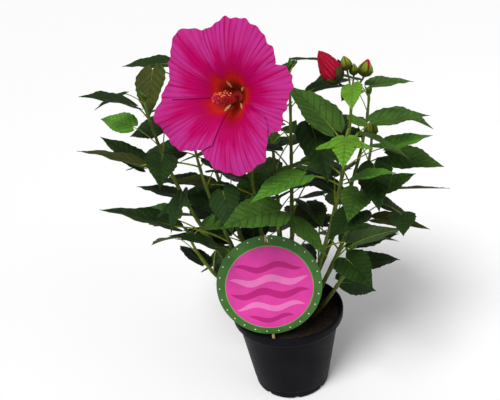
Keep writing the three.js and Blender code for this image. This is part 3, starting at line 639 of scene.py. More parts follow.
class Finish:
    """A procedural material, wired node by node."""

    def __init__(self, name, roughness=0.5, specular=0.12):
        self.material = bpy.data.materials.new(name)
        self.material.use_nodes = True
        self.tree = self.material.node_tree
        self.shader = self.tree.nodes["Principled BSDF"]
        self.shader.inputs["Roughness"].default_value = roughness
        self.shader.inputs["Specular IOR Level"].default_value = specular

    def node(self, kind, inputs=(), **settings):
        node = self.tree.nodes.new("ShaderNode" + kind)
        for key, value in settings.items():
            setattr(node, key, value)
        for key, value in dict(inputs).items():
            self.feed(node.inputs[key], value)
        return node

    def feed(self, socket, value):
        if isinstance(value, bpy.types.NodeSocket):
            self.tree.links.new(value, socket)
        elif socket.type == "RGBA":
            socket.default_value = (*value, 1)
        else:
            socket.default_value = value

    def place(self, kind="Object"):
        return self.node("TexCoord").outputs[kind]

    def stretched(self, vector, scale):
        return self.node("Mapping", {"Vector": vector, "Scale": scale}).outputs[0]

    def noise(self, vector, scale, detail=3.0, distortion=0.0):
        return self.node("TexNoise", {
            "Vector": vector, "Scale": scale, "Detail": detail,
            "Roughness": 0.55, "Distortion": distortion,
        }).outputs["Fac"]

    def math(self, operation, a, b=0.0):
        return self.node("Math", {0: a, 1: b}, operation=operation).outputs[0]

    def plus(self, a, b):
        return self.math("ADD", a, b)

    def minus(self, a, b):
        return self.math("SUBTRACT", a, b)

    def times(self, a, b):
        return self.math("MULTIPLY", a, b)

    def to_and_fro(self, value):
        """The value folded to and fro between 0 and a half."""
        return self.math("PINGPONG", value, 0.5)

    def parts(self, vector):
        return self.node("SeparateXYZ", {0: vector}).outputs

    def span(self, value, low, high, to_low=0.0, to_high=1.0):
        return self.node("MapRange", {
            "Value": value, "From Min": low, "From Max": high, "To Min": to_low, "To Max": to_high,
        }).outputs[0]

    def mix(self, share, a, b):
        node = self.node("Mix", data_type="RGBA")
        self.feed(node.inputs[0], share)
        self.feed(node.inputs[6], a)
        self.feed(node.inputs[7], b)
        return node.outputs[2]

    def shades(self, share, colour, dark, light):
        """Between a darker and a lighter shade of one colour."""
        return self.mix(share, shade(colour, dark), shade(colour, light))

    def ramp(self, value, stops):
        node = self.node("ValToRGB", {0: value})
        while len(node.color_ramp.elements) < len(stops):
            node.color_ramp.elements.new(0.5)
        for element, (place, colour) in zip(node.color_ramp.elements, stops):
            element.position = place
            element.color = (*colour, 1)
        return node.outputs[0]

    def done(self, colour, height=None, strength=0.3, distance=0.001, roughness=None):
        self.feed(self.shader.inputs["Base Color"], colour)
        if height is not None:
            bump = self.node("Bump", {"Height": height, "Strength": strength, "Distance": distance})
            self.feed(self.shader.inputs["Normal"], bump.outputs[0])
        if roughness is not None:
            self.feed(self.shader.inputs["Roughness"], roughness)
        return self.material


def shade(colour, share):
    """A colour made darker or lighter."""
    return tuple(min(1.0, c * share) for c in colour)


def leaf_finish(name, colour, roughness=0.55):
    """A blade's green: mottled, with painted shade beside its veins where the blade dips, and darker in a
    fine net all over.
    """
    finish = Finish(name, roughness, 0.1)
    place, blade = finish.place(), finish.parts(finish.place("UV"))
    base = finish.shades(finish.span(finish.noise(place, 42), 0.35, 0.65), colour, 0.85, 1.3)
    off_rib = finish.math("ABSOLUTE", finish.minus(blade[0], 0.5))
    slant = finish.times(off_rib, VEIN_SLANT)
    along = finish.minus(finish.minus(blade[1], VEIN_START), slant)
    wander = finish.times(finish.minus(finish.noise(place, 75, 2), 0.5), 0.5)
    off_vein = finish.to_and_fro(finish.plus(finish.math("DIVIDE", along, VEIN_STEP), wander))
    # Painted shade: the green darkens beside each side vein, where the quilted blade dips into its groove.
    vein_groove_shade = finish.times(finish.span(off_vein, 0.0, 0.2), finish.span(off_rib, 0.0, 0.03, 0.3, 1.0))
    depth = finish.span(finish.noise(place, 38, 2), 0.35, 0.65, 0.5, 0.9)
    base = finish.mix(finish.times(finish.minus(1.0, vein_groove_shade), depth), base, shade(colour, 0.45))
    net = finish.node("TexVoronoi", {"Vector": place, "Scale": 260}, feature="DISTANCE_TO_EDGE")
    veinlets = finish.span(net.outputs["Distance"], 0.0, 0.16)
    base = finish.mix(finish.times(finish.minus(1.0, veinlets), 0.4), base, shade(colour, 0.5))
    grain = finish.plus(finish.plus(veinlets, vein_groove_shade), finish.noise(place, 300, 2))
    gloss = finish.span(finish.noise(place, 90, 2), 0.3, 0.7, roughness - 0.06, roughness + 0.1)
    return finish.done(base, grain, 0.35, 0.0009, gloss)


def plant_finish(name, colour, roughness=0.5, scale=180.0, strength=0.2):
    """A plain growing surface: streaked along itself and a little blotched."""
    finish = Finish(name, roughness)
    place = finish.place()
    streak = finish.noise(finish.stretched(place, (1, 1, 0.18)), scale, 4)
    blotch = finish.noise(place, scale * 0.22, 2)
    base = finish.shades(finish.span(streak, 0.35, 0.68), colour, 0.72, 1.3)
    base = finish.mix(finish.span(blotch, 0.5, 0.75, 0.0, 0.35), base, shade(colour, 0.6))
    return finish.done(base, streak, strength, 0.0006)


def stem_finish(colours):
    """A green stem, blotched with brown and woody towards its foot."""
    finish = Finish("green stem")
    place = finish.place()
    streak = finish.noise(finish.stretched(place, (1, 1, 0.12)), 260, 4)
    blotch = finish.noise(place, 45)
    green = finish.shades(finish.span(streak, 0.35, 0.68), colours.stem, 0.7, 1.35)
    brown = shade(colours.stem_foot, 0.9)
    green = finish.mix(finish.span(blotch, 0.55, 0.75, 0, 0.5), green, brown)
    low = finish.plus(finish.parts(place)[2], finish.span(blotch, 0.3, 0.7, -0.03, 0.03))
    base = finish.mix(finish.span(low, 0.25, 0.15), green, colours.stem_foot)
    return finish.done(base, streak, 0.35, 0.0008)


def petal_finish(colours):
    """Petal colour by how far out it is, with fine veins running outwards and darker lines along the folds,
    partly real veins and partly painted shade.
    """
    finish = Finish("magenta petal", 0.6, 0.04)
    flat = finish.place("UV")
    folds, out, _ = finish.parts(flat)
    patch = finish.noise(finish.stretched(flat, (0.28, 1.1, 1)), 1.0, 2)
    uneven = finish.noise(finish.stretched(flat, (1.3, 1.6, 1)), 1.0, 2)
    fine = finish.noise(finish.stretched(flat, (4.2, 1.7, 1)), 1.0, 2)
    wobble = finish.times(finish.minus(fine, 0.5), 0.3)
    off_groove = finish.plus(finish.to_and_fro(folds), wobble)
    vein_and_fold_shade = finish.times(
        finish.span(off_groove, 0.2, 0.02), finish.span(uneven, 0.35, 0.6, 0.25, 1.0),
    )
    rim = finish.plus(out, finish.times(finish.minus(patch, 0.5), 1.5))
    blaze = finish.plus(out, finish.times(finish.minus(fine, 0.5), 0.05))
    ground = finish.ramp(blaze, [
        (0.0, shade(colours.throat, 1.6)), (0.09, colours.throat),
        (0.15, shade(colours.throat, 1.9)), (0.2, colours.eye), (0.26, (0.42, 0.004, 0.02)),
        (0.34, colours.petal_groove), (0.52, colours.petal_mid),
    ])
    lilac = finish.times(finish.span(rim, 0.5, 0.86), finish.span(fine, 0.3, 0.6, 0.45, 1.0))
    base = finish.mix(lilac, ground, colours.petal_light)
    # Darker lines along the pleat folds: partly the petal's veins, partly painted shade in the folds.
    line = finish.times(vein_and_fold_shade, finish.span(out, 0.22, 0.5, 0.0, 0.9))
    base = finish.mix(line, base, shade(colours.petal_groove, 0.8))
    height = finish.minus(finish.times(fine, 0.6), vein_and_fold_shade)
    return finish.done(base, height, 0.35, 0.0009)


def card_finish(name, colour, mottle=0.1, roughness=0.34):
    """Printed plastic: almost even, with a fine skin and dull patches."""
    finish = Finish(name, roughness, 0.15)
    place = finish.place()
    cloud = finish.noise(place, 28, 4)
    base = finish.shades(finish.span(cloud, 0.3, 0.7), colour, 1 - mottle, 1 + mottle)
    gloss = finish.span(cloud, 0.3, 0.7, roughness - 0.05, roughness + 0.1)
    return finish.done(base, finish.noise(place, 900, 2), 0.08, 0.0004, gloss)


def pot_finish(colour):
    """Black pot plastic with dust and scuffs, more of them low on the wall."""
    finish = Finish("black pot plastic", 0.44, 0.035)
    place = finish.place()
    height = finish.parts(place)[2]
    cloud = finish.noise(place, 22, 5)
    scuff = finish.noise(finish.stretched(place, (1, 1, 7)), 60, 4)
    base = finish.shades(finish.span(cloud, 0.35, 0.7), colour, 0.7, 1.4)
    lower = finish.span(height, 0.12, 0.0, 0.02, 0.16)
    dust = finish.times(finish.span(scuff, 0.52, 0.75), lower)
    base = finish.mix(dust, base, (0.05, 0.048, 0.046))
    gloss = finish.span(scuff, 0.3, 0.7, 0.36, 0.56)
    return finish.done(base, finish.noise(place, 500), 0.12, 0.0005, gloss)


def soil_finish(colour):
    """Damp peat compost with paler fibres."""
    finish = Finish("damp compost", 0.92, 0.2)
    place = finish.place()
    lump = finish.noise(place, 240, 6)
    fibre = finish.noise(finish.stretched(place, (1, 3, 1)), 420, 4)
    base = finish.shades(finish.span(lump, 0.35, 0.7), colour, 0.5, 1.9)
    base = finish.mix(finish.span(fibre, 0.62, 0.8, 0, 0.6), base, (0.12, 0.07, 0.035))
    return finish.done(base, lump, 0.8, 0.002)


def wood_finish(colour):
    """Bare split wood: long grain lines and a few darker flecks."""
    finish = Finish("bare peg wood", 0.68, 0.25)
    place = finish.place()
    grain = finish.noise(finish.stretched(place, (1, 1, 0.04)), 900, 4, 0.4)
    fleck = finish.noise(finish.stretched(place, (1, 1, 0.1)), 260, 2)
    base = finish.shades(finish.span(grain, 0.35, 0.65), colour, 0.66, 1.25)
    base = finish.mix(finish.span(fleck, 0.6, 0.78, 0, 0.5), base, shade(colour, 0.4))
    return finish.done(base, grain, 0.35, 0.0006)


def cup_finish(name, low, high):
    """A bud's green cup: dark at its foot, paler at its points, darker at ribs and seams."""
    finish = Finish(name, 0.6, 0.1)
    flat = finish.place("UV")
    across, up, _ = finish.parts(flat)
    streak = finish.noise(finish.stretched(flat, (9, 1.5, 1)), 1.0)
    level = finish.plus(up, finish.span(streak, 0.3, 0.7, -0.2, 0.2))
    base = finish.mix(finish.span(level, 0.3, 0.8), low, high)
    off_rib = finish.math("ABSOLUTE", finish.minus(across, 0.5))
    base = finish.mix(finish.span(off_rib, 0.34, 0.5, 0.0, 0.85), base, low)
    base = finish.mix(finish.span(off_rib, 0.1, 0.0, 0.0, 0.6), base, low)
    return finish.done(base, streak, 0.5, 0.0008)


def furled_finish(colour):
    """Rolled petals: ridges that wind up the bud, with creases across them, and painted shade along the
    folds between the ridges and along the creases.
    """
    finish = Finish("furled bud", 0.6, 0.1)
    turn, up, _ = finish.parts(finish.place("UV"))
    wrinkle = finish.times(finish.noise(finish.place(), 120, 2), 0.6)
    turns = finish.plus(finish.times(turn, 16), finish.times(up, ROLL_TURN / math.pi))
    ridge = finish.to_and_fro(finish.plus(turns, wrinkle))
    cross = finish.to_and_fro(finish.plus(finish.times(up, 13), wrinkle))
    # Painted shade: dark along each fold between the rolled petals, and a little darker along the creases.
    crease = finish.times(finish.span(ridge, 0.0, 0.2), finish.span(cross, 0.0, 0.16, 0.6, 1.0))
    return finish.done(finish.mix(crease, shade(colour, 0.3), colour), crease, 0.5, 0.0015)


def floor_finish(colour):
    """A plain floor, very slightly uneven in tone."""
    finish = Finish("pale floor", 0.85, 0.1)
    cloud = finish.noise(finish.place(), 0.6, 2)
    return finish.done(finish.shades(finish.span(cloud, 0.2, 0.8), colour, 0.99, 1))


# ----------------------------------------------------------- settings the user sees

def colour_setting(name, description, default):
    return bpy.props.FloatVectorProperty(
        name=name, description=description, default=default, subtype="COLOR", size=3, min=0, max=1,
    )


def length_setting(name, description, millimetres):
    return bpy.props.FloatProperty(
        name=name, description=description, default=millimetres * MM, min=0, unit="LENGTH", precision=5,
    )


class ShrubSizes(bpy.types.PropertyGroup):
    """Fine sizes that don't move the shrub's outline"""
    leaf_thickness: length_setting("Leaf thickness", "How thick a leaf blade is", 0.5)
    quilting: length_setting("Leaf quilting", "How far a blade swells between its veins", 1.2)
    waviness: length_setting("Leaf waviness", "How far a blade's edge waves up and down", 1.3)
    tooth: bpy.props.FloatProperty(
        name="Leaf teeth", description="Depth of a tooth as a share of the half-width", default=0.07, min=0,
        subtype="FACTOR",
    )
    vein: length_setting("Vein radius", "Radius of a side vein where it leaves the midrib", 0.5)
    petal_thickness: length_setting("Petal thickness", "How thick a petal is", 0.5)
    pleats: length_setting("Petal pleats", "How deep a petal's folds are", 0.9)
    ruffle: length_setting("Petal ruffle", "How far a petal's edge waves", 3.0)
    stamens: bpy.props.IntProperty(
        name="Stamens", description="How many stamens stand on the column", default=90, min=0, max=400,
    )
    crumbs: bpy.props.IntProperty(
        name="Compost crumbs", description="How many loose crumbs lie on the compost",
        default=420, min=0, max=2000,
    )


class ShrubColours(bpy.types.PropertyGroup):
    """Base colours of the shrub's finishes"""
    leaf_deep: colour_setting("Deep leaf", "Oldest, shaded leaves", (0.016, 0.040, 0.007))
    leaf_mid: colour_setting("Mid leaf", "Full grown leaves", (0.052, 0.125, 0.018))
    leaf_bright: colour_setting("Bright leaf", "Well lit leaves", (0.082, 0.235, 0.022))
    leaf_fresh: colour_setting("Fresh leaf", "Young leaves near the tips", (0.118, 0.285, 0.020))
    leaf_olive: colour_setting("Olive leaf", "Leaves with a brown cast", (0.048, 0.060, 0.009))
    leaf_under: colour_setting("Leaf underside", "Paler undersides", (0.040, 0.078, 0.020))
    vein: colour_setting("Vein", "Veins of a blade", (0.110, 0.200, 0.028))
    stalk: colour_setting("Leaf stalk", "Stalks of the leaves", (0.180, 0.250, 0.020))
    stem: colour_setting("Stem", "Green part of the stems", (0.086, 0.125, 0.014))
    stem_foot: colour_setting("Stem foot", "Woody foot of the stems", (0.050, 0.036, 0.014))
    petal_light: colour_setting("Petal ridge", "Lilac parts of the petals", (0.430, 0.028, 0.226))
    petal_mid: colour_setting("Petal", "Magenta parts of the petals", (0.400, 0.000, 0.098))
    # The groove colour also darkens the petals' folds: partly real veins, partly painted shade.
    petal_groove: colour_setting("Petal groove", "Folds and inner part", (0.370, 0.000, 0.068))
    eye: colour_setting("Eye", "Red ring round the throat", (0.480, 0.016, 0.010))
    throat: colour_setting("Throat", "Dark inside of the throat", (0.165, 0.008, 0.004))
    anther: colour_setting("Anther", "Stamens and column", (0.520, 0.020, 0.035))
    # The pollen colour also stands for painted light on the anthers that point up.
    pollen: colour_setting("Pollen", "Ripe pollen on the stamens", (0.760, 0.190, 0.060))
    bud_red: colour_setting("Furled bud", "Rolled petals of the largest bud", (0.380, 0.003, 0.026))
    bud_green: colour_setting("Bud green", "Calyx of the buds", (0.220, 0.280, 0.020))
    pot: colour_setting("Pot", "Black pot plastic", (0.005, 0.005, 0.007))
    soil: colour_setting("Compost", "Damp compost", (0.014, 0.009, 0.006))
    label_green: colour_setting("Label green", "Ground of the label", (0.046, 0.130, 0.026))
    label_pink: colour_setting("Label pink", "Middle of the label", (0.600, 0.042, 0.290))
    peg: colour_setting("Peg", "Wooden peg", (0.560, 0.400, 0.190))


class StageSettings(bpy.types.PropertyGroup):
    """Camera, floor and lights"""
    lens: bpy.props.FloatProperty(
        name="Lens", description="Focal length in millimetres", default=41.76, min=1,
        subtype="DISTANCE_CAMERA", unit="CAMERA",
    )
    floor: colour_setting("Floor", "Plain pale floor", (0.95, 0.95, 0.95))
    key: bpy.props.FloatProperty(
        name="Key light", description="Strength of the wide main light", default=2.65, min=0,
    )
    fill: bpy.props.FloatProperty(
        name="Fill light", description="Power of the lamp on the right", default=9, min=0, unit="POWER",
    )
    sky: bpy.props.FloatProperty(
        name="Room light", description="Strength of the even light from all round", default=0.38, min=0,
    )


# ---------------------------------------------------------------- pot and soil

def inner_wall():
    inset, band_foot = POT["wall"] + 1.5, POT["height"] - POT["rim_band"]
    return [
        (POT["rim_radius"] - inset, POT["height"]),
        (POT["rim_radius"] - inset - 0.5, POT["height"] - 10),
        (POT["body_top"] - POT["wall"], band_foot - 1),
        (POT["body_foot"] - POT["wall"], POT["foot_height"] + 2),
        (POT["foot_radius"] - POT["wall"], POT["floor"]),
    ]


def rounded(profile, bevel=0.8, steps=3):
    """The profile with each corner cut into a short curve."""
    points = [np.array(p, float) for p in profile]
    made = [points[0]]
    for before, corner, after in zip(points, points[1:], points[2:]):
        into, out = before - corner, after - corner
        reach = min(bevel, np.linalg.norm(into) / 2.2, np.linalg.norm(out) / 2.2)
        start, end = corner + unit(into) * reach, corner + unit(out) * reach
        for k in range(steps + 1):
            t = k / steps
            made.append(start * (1 - t) ** 2 + corner * 2 * t * (1 - t) + end * t * t)
    return [*made, points[-1]]


def build_pot(colours):
    """The pot: a tapering wall with a rim band, and notches round its foot."""
    band_foot, foot_top = POT["height"] - POT["rim_band"], POT["foot_height"] + 2
    wall = [
        (AXIS_HOLE, 1.2), (40, 1.2), (44, 0), (POT["foot_radius"] - 3, 0), (POT["foot_radius"], 3),
        (POT["foot_radius"] + 0.5, 8), (POT["foot_radius"] + 1, POT["foot_height"] - 1),
        (POT["body_foot"], foot_top),
        (lerp(POT["body_foot"], POT["body_top"], 0.5), lerp(foot_top, band_foot, 0.5)),
        (POT["body_top"], band_foot), (POT["rim_radius"] - 3, band_foot + 1),
        (POT["rim_radius"] - 0.7, band_foot + 4), (POT["rim_radius"], POT["height"] - 4),
        (POT["rim_radius"] - 0.6, POT["height"] - 1), (POT["rim_radius"] - 1.5, POT["height"]),
    ]

    def notched(radius, height, turn):
        each = 2 * np.pi / POT["notches"]
        off = np.hypot(((turn / each) % 1 - 0.5) * each * POT["foot_radius"], height)
        cut = 1 - smooth_step(off, POT["notch_radius"] - 0.8, POT["notch_radius"] + 0.4)
        return radius - cut * smooth_step(radius, 58, 62) * POT["notch_depth"], height

    form = Form()
    profile = rounded([*wall, *inner_wall(), (AXIS_HOLE, POT["floor"])])
    turned(form, profile, 224, vec(0, 0, 0), UP, 0, notched)
    piece("nursery_pot", form, [pot_finish(colours.pot)], ["pot"], 35)


def crumb(form, random, centre, size):
    """A small rough lump of compost."""
    rings, sides = 4, 6
    rows = np.linspace(0.15, np.pi - 0.15, rings)[:, None]
    turn = 2 * np.pi * np.arange(sides) / sides
    rough = 1 + (random.random((rings, sides)) - 0.5) * 0.7
    points = np.stack([
        np.sin(rows) * np.cos(turn) * rough, np.sin(rows) * np.sin(turn) * rough,
        np.cos(rows) * rough * random.uniform(0.5, 0.9),
    ], -1)
    form.add(centre + points * size, tube_faces(rings, sides))


def build_soil(sizes, colours):
    """The compost with its uneven top, and loose crumbs lying on it."""
    wall = inner_wall()[::-1]
    below, above = wall[2], wall[3]
    share = (SOIL_TOP - below[1]) / (above[1] - below[1])
    edge = lerp(below[0], above[0], share) - CLEARANCE
    bottom = POT["floor"] + 0.4
    profile = [(AXIS_HOLE, bottom), (wall[0][0] - CLEARANCE, bottom)]
    profile += [(radius - CLEARANCE, height) for radius, height in wall[1:3]]
    profile += [(radius, SOIL_TOP) for radius in np.linspace(edge, AXIS_HOLE, 46)]
    random = np.random.default_rng(HEAP["seed"])
    ways = random.normal(size=(HEAP["waves"], 2)) * HEAP["turns"]
    phases = random.random(HEAP["waves"]) * 2 * np.pi

    def heaped(radius, height, turn):
        x, y = radius * np.cos(turn), radius * np.sin(turn)
        bumps = sum(np.sin(x * w[0] + y * w[1] + p) for w, p in zip(ways, phases)) * HEAP["height"]
        top = (height > SOIL_TOP - 1) * smooth_step(-radius, -edge, -edge + 6)
        return radius, height + top * bumps

    form = Form()
    turned(form, profile, 96, vec(0, 0, 0), UP, 0, heaped)
    for _ in range(sizes.crumbs):
        reach, turn = (edge - 3) * math.sqrt(random.random()), random.random() * 2 * np.pi
        size = random.uniform(0.8, 1.5) ** 2.2
        centre = vec(reach * math.cos(turn), reach * math.sin(turn), SOIL_TOP + 0.3)
        crumb(form, random, centre, size)
    piece("compost", form, [soil_finish(colours.soil)], ["soil"], 60)


# ---------------------------------------------------------- label and its peg

def label_plate(form, outline, low, high, finish):
    """A flat shape of the label's plane, closed, between two heights above its middle."""
    outline = np.asarray(outline, float)
    count = len(outline)
    flat = LABEL_CENTRE + outline[:, :1] * vec(1, 0, 0) + outline[:, 1:] * LABEL_UP
    index = np.arange(count)
    after = np.roll(index, -1)
    wall = np.stack([index, after, after + count, index + count], -1)
    points = np.concatenate([flat - LABEL_BACK * low, flat - LABEL_BACK * high])
    form.add(points, [wall, index[None, ::-1], index[None] + count], finish)


def round_outline(centre, radius, count):
    """Points of a circle on the label's face."""
    a = np.linspace(0, 2 * np.pi, count, endpoint=False)
    return np.stack([centre[0] + radius * np.cos(a), centre[1] + radius * np.sin(a)], -1)


def build_label(colours):
    """The round card with its notch, and its print in thin layers on the front."""
    half_notch, depth = LABEL["notch"][0] / 2, LABEL["notch"][1]
    start = math.acos(half_notch / LABEL["radius"])
    a = np.linspace(math.pi - start, start + 2 * math.pi, 120)
    card = np.stack([LABEL["radius"] * np.cos(a), LABEL["radius"] * np.sin(a)], -1)
    notch = [(half_notch, LABEL["radius"] - depth), (-half_notch, LABEL["radius"] - depth)]
    face = LABEL["thickness"] / 2
    first, second, third = [face + height for height in PRINT["layers"]]
    middle, radius = PRINT["middle"], PRINT["radius"]
    form = Form()
    label_plate(form, [*card, *notch], -face, face, 0)
    label_plate(form, round_outline((0, middle), radius, 96), face, first, 1)
    field = round_outline((0, middle), radius - PRINT["line"], 96)
    label_plate(form, field, first, second, 2)
    for k, (height, swell) in enumerate(PRINT["bands"]):
        reach = math.sqrt((radius - PRINT["inset"]) ** 2 - height**2)
        x = np.linspace(-reach, reach, 49)
        fade = 1 - (np.abs(x) / (reach + 0.01)) ** 4
        wave = PRINT["wave"] * np.sin(x / PRINT["stretch"] + k * PRINT["shift"])
        line = height + middle + wave
        top, low = line + swell * fade, line - swell * fade
        band = np.concatenate([np.stack([x, top], -1), np.stack([x, low], -1)[::-1][1:-1]])
        label_plate(form, band, second, third, 3 if k % 2 else 4)
    for k in range(PRINT["dots"]):
        centre = PRINT["dot_ring"] * polar(90 + 360 * (k + 0.5) / PRINT["dots"])
        label_plate(form, round_outline(centre, PRINT["dot"], 12), face, first, 5)
    finishes = [
        card_finish("label green", colours.label_green, 0.2),
        card_finish("label pale green", shade(colours.label_green, 2.4)),
        card_finish("label pink", colours.label_pink, 0.14),
        card_finish("label light pink", (0.68, 0.16, 0.42)),
        card_finish("label deep pink", (0.42, 0.012, 0.16)),
        card_finish("label dots", (0.62, 0.72, 0.42), 0.05),
    ]
    piece("round_label", form, finishes, ["plant_label"], 30)


def build_peg(colours):
    """The peg behind the label, from the compost up to a rounded top end."""
    top = PEG_MIDDLE + LABEL_UP * LABEL["radius"]
    count = 30
    steps = np.linspace(0, 1, count)[:, None]
    points = PEG_FOOT + (top - PEG_FOOT) * steps
    left = (1 - steps[:, 0]) * np.linalg.norm(top - PEG_FOOT)
    radii = PEG_RADIUS * np.sqrt(np.clip(1 - (1 - np.clip(left / 2.4, 0, 1)) ** 2, 0.03, 1))
    radii = radii * (1 - 0.03 * np.sin(np.arange(count) * 1.7))
    points = np.concatenate([points[:-1], points[-2:-1] * 0.1 + points[-1:] * 0.9, points[-1:]])
    radii = np.concatenate([radii[:-1], [PEG_RADIUS * 0.75, PEG_RADIUS * 0.35]])
    form = Form()
    tube(form, points, radii, 14)
    piece("wooden_peg", form, [wood_finish(colours.peg)], ["label_peg"])


# ---------------------------------------------------------------------- stems

def build_stems(colours):
    """All the stems, each a little thicker at its foot and where a leaf leaves it."""
    form = Form()
    for stem in STEMS:
        shares = np.linspace(0, 1, max(24, round(stem["height"] / 6)) + 1)
        points = np.array([stem_point(stem, t) for t in shares])
        points[0] -= UP * STEM["sunk"]
        height = shares * stem["height"]
        knots = [
            np.exp(-(((shares - leaf["t"]) * stem["height"] / STEM["knot_reach"]) ** 2))
            for leaf in grown()[stem["name"]]
        ]
        radii = lerp(STEM["foot"], STEM["tip"], shares)
        radii = radii + STEM["flare"] * np.exp(-height / STEM["flare_height"])
        radii = radii + STEM["knot"] * np.max(knots, axis=0)
        tube(form, points, radii, 12, 0, vec(0.2, 1, 0.1))
    nodes = [f"stem_{stem['name']}" for stem in STEMS]
    piece("stems", form, [stem_finish(colours)], nodes)


# --------------------------------------------------------------------- leaves

# A blade's rows from base to tip and columns across it, and its side veins: where
# the first leaves the midrib, how far apart they are, and how they run forward.
ROWS = np.concatenate([[0.004, 0.02, 0.045, 0.08], np.linspace(0.115, 0.97, 31), [0.985, 0.996]])
COLUMNS = np.array([-1, -0.86, -0.66, -0.44, -0.22, 0, 0.22, 0.44, 0.66, 0.86, 1])
TOOTH = np.array([0.0, 0.45, 1.0, 0.35])
VEIN_START, VEIN_STEP, VEIN_SLANT = 0.02, 0.13, 1.05
VEIN_PAIRS = 6

# A blade of full size is as long as the first. Only blades longer than the second
# have side veins.
FULL_LENGTH, VEINED_LENGTH = 90, 45

# The deep green is painted shade and the bright green painted light: shaded and lit copies of one green.
TONES = ("deep", "mid", "bright", "fresh", "olive")
UNDERSIDE = len(TONES)
GROUPS = {
    "front": ("bud", "bloom", "left_inner", "left", "right", "low_left", "low_right", "low_front"),
    "back": ("middle", "back_right", "back_left", "back"),
}


def swell(leaf, s, u, sizes):
    """How far a blade stands off its plain shape: full between veins, wavy at its edge."""
    across, along = np.abs(u), np.sin(np.pi * np.clip(s, 0, 1))
    lateral = across * half_width(s, leaf["lobed"]) * LEAF["width"]
    veins = (s - VEIN_SLANT * lateral - VEIN_START) / VEIN_STEP
    quilt = (0.5 - 0.5 * np.cos(2 * np.pi * veins)) * (1 - across**6)
    quilt = quilt * np.clip(across * 4, 0, 1) * along**0.4
    wave = np.sin(2 * np.pi * (s * 2.3 + leaf["phase"]) + 0.9 * np.sign(u))
    height = sizes.quilting * quilt + sizes.waviness * wave * across**2.4 * along
    return leaf["length"] / FULL_LENGTH * METRE * height


def add_blade(form, leaf, tone, sizes):
    """A leaf's blade: toothed, swollen and paler on its underside."""
    s, u = ROWS[:, None], COLUMNS[None]
    teeth = sizes.tooth * (np.resize(TOOTH, len(ROWS))[:, None] - 0.4) * smooth_step(s, 0.02, 0.12)
    grid = blade_points(leaf, s, u, teeth, swell(leaf, s, u, sizes))
    lateral = u * half_width(s, leaf["lobed"]) * LEAF["width"]
    places = np.stack(np.broadcast_arrays(lateral + 0.5, s), -1)
    normal = blade_frame(leaf, ROWS)[3][len(ROWS) // 2]
    facing = np.cross(grid[9, 5] - grid[8, 5], grid[8, 6] - grid[8, 5]) @ normal
    finishes = [tone, UNDERSIDE, UNDERSIDE] if facing > 0 else [UNDERSIDE, tone, UNDERSIDE]
    sheet(form, grid, sizes.leaf_thickness * METRE, finishes, places)


def add_stalk(form, leaf, radius=1.25):
    """A leaf's stalk, which runs on as its midrib."""
    count = max(5, math.ceil(np.linalg.norm(leaf["base"] - leaf["foot"]) / 9))
    stalk = [stalk_point(leaf, k / count) for k in range(count + 1)]
    size = leaf["length"] / FULL_LENGTH
    s = np.array([0.03, 0.1, 0.22, 0.36, 0.52, 0.7, 0.88])
    rib = blade_points(leaf, s, 0.0) - blade_frame(leaf, s)[3] * 0.35 * size
    radii = [*np.linspace(radius * 1.15, radius * 0.85, count + 1), *(radius * (0.85 - 0.75 * s))]
    tube(form, [*stalk, *rib], np.array(radii) * min(1.15, max(size, 0.45)), 6, 0, squash=0.9)


def add_veins(form, leaf, sizes):
    """Side veins, which leave the midrib in pairs and run forward to the edge."""
    u = np.array([0.02, 0.3, 0.6, 0.9])
    reference = blade_frame(leaf, np.array([0.4]))[3][0]
    for k in range(VEIN_PAIRS):
        foot = VEIN_START + VEIN_STEP * k
        s = foot + 0.2 * u
        for _ in range(8):
            s = (s + foot + VEIN_SLANT * u * half_width(s, leaf["lobed"]) * LEAF["width"]) / 2
        radii = METRE * sizes.vein * (1 - 0.11 * k) * np.array([1, 0.8, 0.6, 0.3])
        for side in (-1, 1):
            points = blade_points(leaf, s, u * side, 0.0, swell(leaf, s, u * side, sizes))
            tube(form, points, radii * min(1, leaf["length"] / 80), 4, 1, reference)


def tone_of(leaf, share):
    """Which green a leaf gets: its own, or mostly deep, which is painted shade, with paler ones near the
    tip, where the few bright ones are painted light.
    """
    if "tone" in leaf:
        tone = leaf["tone"]
    elif share < (0.35 if leaf["t"] > 0.8 else 0.62):
        tone = "deep"
    elif share < 0.965:
        tone = "mid"
    else:
        tone = "bright" if leaf["t"] > 0.6 else "olive"
    return TONES.index(tone)


def build_leaves(sizes, colours):
    """Blades in one piece and stalks with veins in another, for the front and the back."""
    greens = [leaf_finish(f"{tone} green leaf", getattr(colours, f"leaf_{tone}")) for tone in TONES]
    greens.append(leaf_finish("leaf underside", colours.leaf_under, 0.6))
    stalks = [
        plant_finish("leaf stalk", colours.stalk, 0.45), plant_finish("leaf vein", colours.vein),
    ]
    for group, names in GROUPS.items():
        blades, lines = Form(), Form()
        for name in names:
            stem = stem_named(name)
            random = seeded(stem["seed"] + 7)
            for bare in grown()[name] + ([] if name in FLOWERING else young_leaves(stem)):
                leaf = {**bare, "phase": random(), "lobed": bare["lobed"] and "pointed"}
                add_blade(blades, leaf, tone_of(leaf, random()), sizes)
                add_stalk(lines, leaf)
                if leaf["length"] > VEINED_LENGTH:
                    add_veins(lines, leaf, sizes)
        nodes = [f"foliage_{name}" for name in names]
        piece(f"leaves_{group}", blades, greens, nodes, 60)
        piece(f"leaf_stalks_{group}", lines, stalks, nodes)


# ---------------------------------------------------------------------- bloom

def bloom_point(radius, angle, lift):
    """A point of the bloom from its radius, angle in radians and height above the throat."""
    radius, angle, lift = np.broadcast_arrays(radius, angle, lift)
    return THROAT + around(BLOOM_RIGHT, BLOOM_UP, radius, angle) + BLOOM_AXIS * lift[..., None]


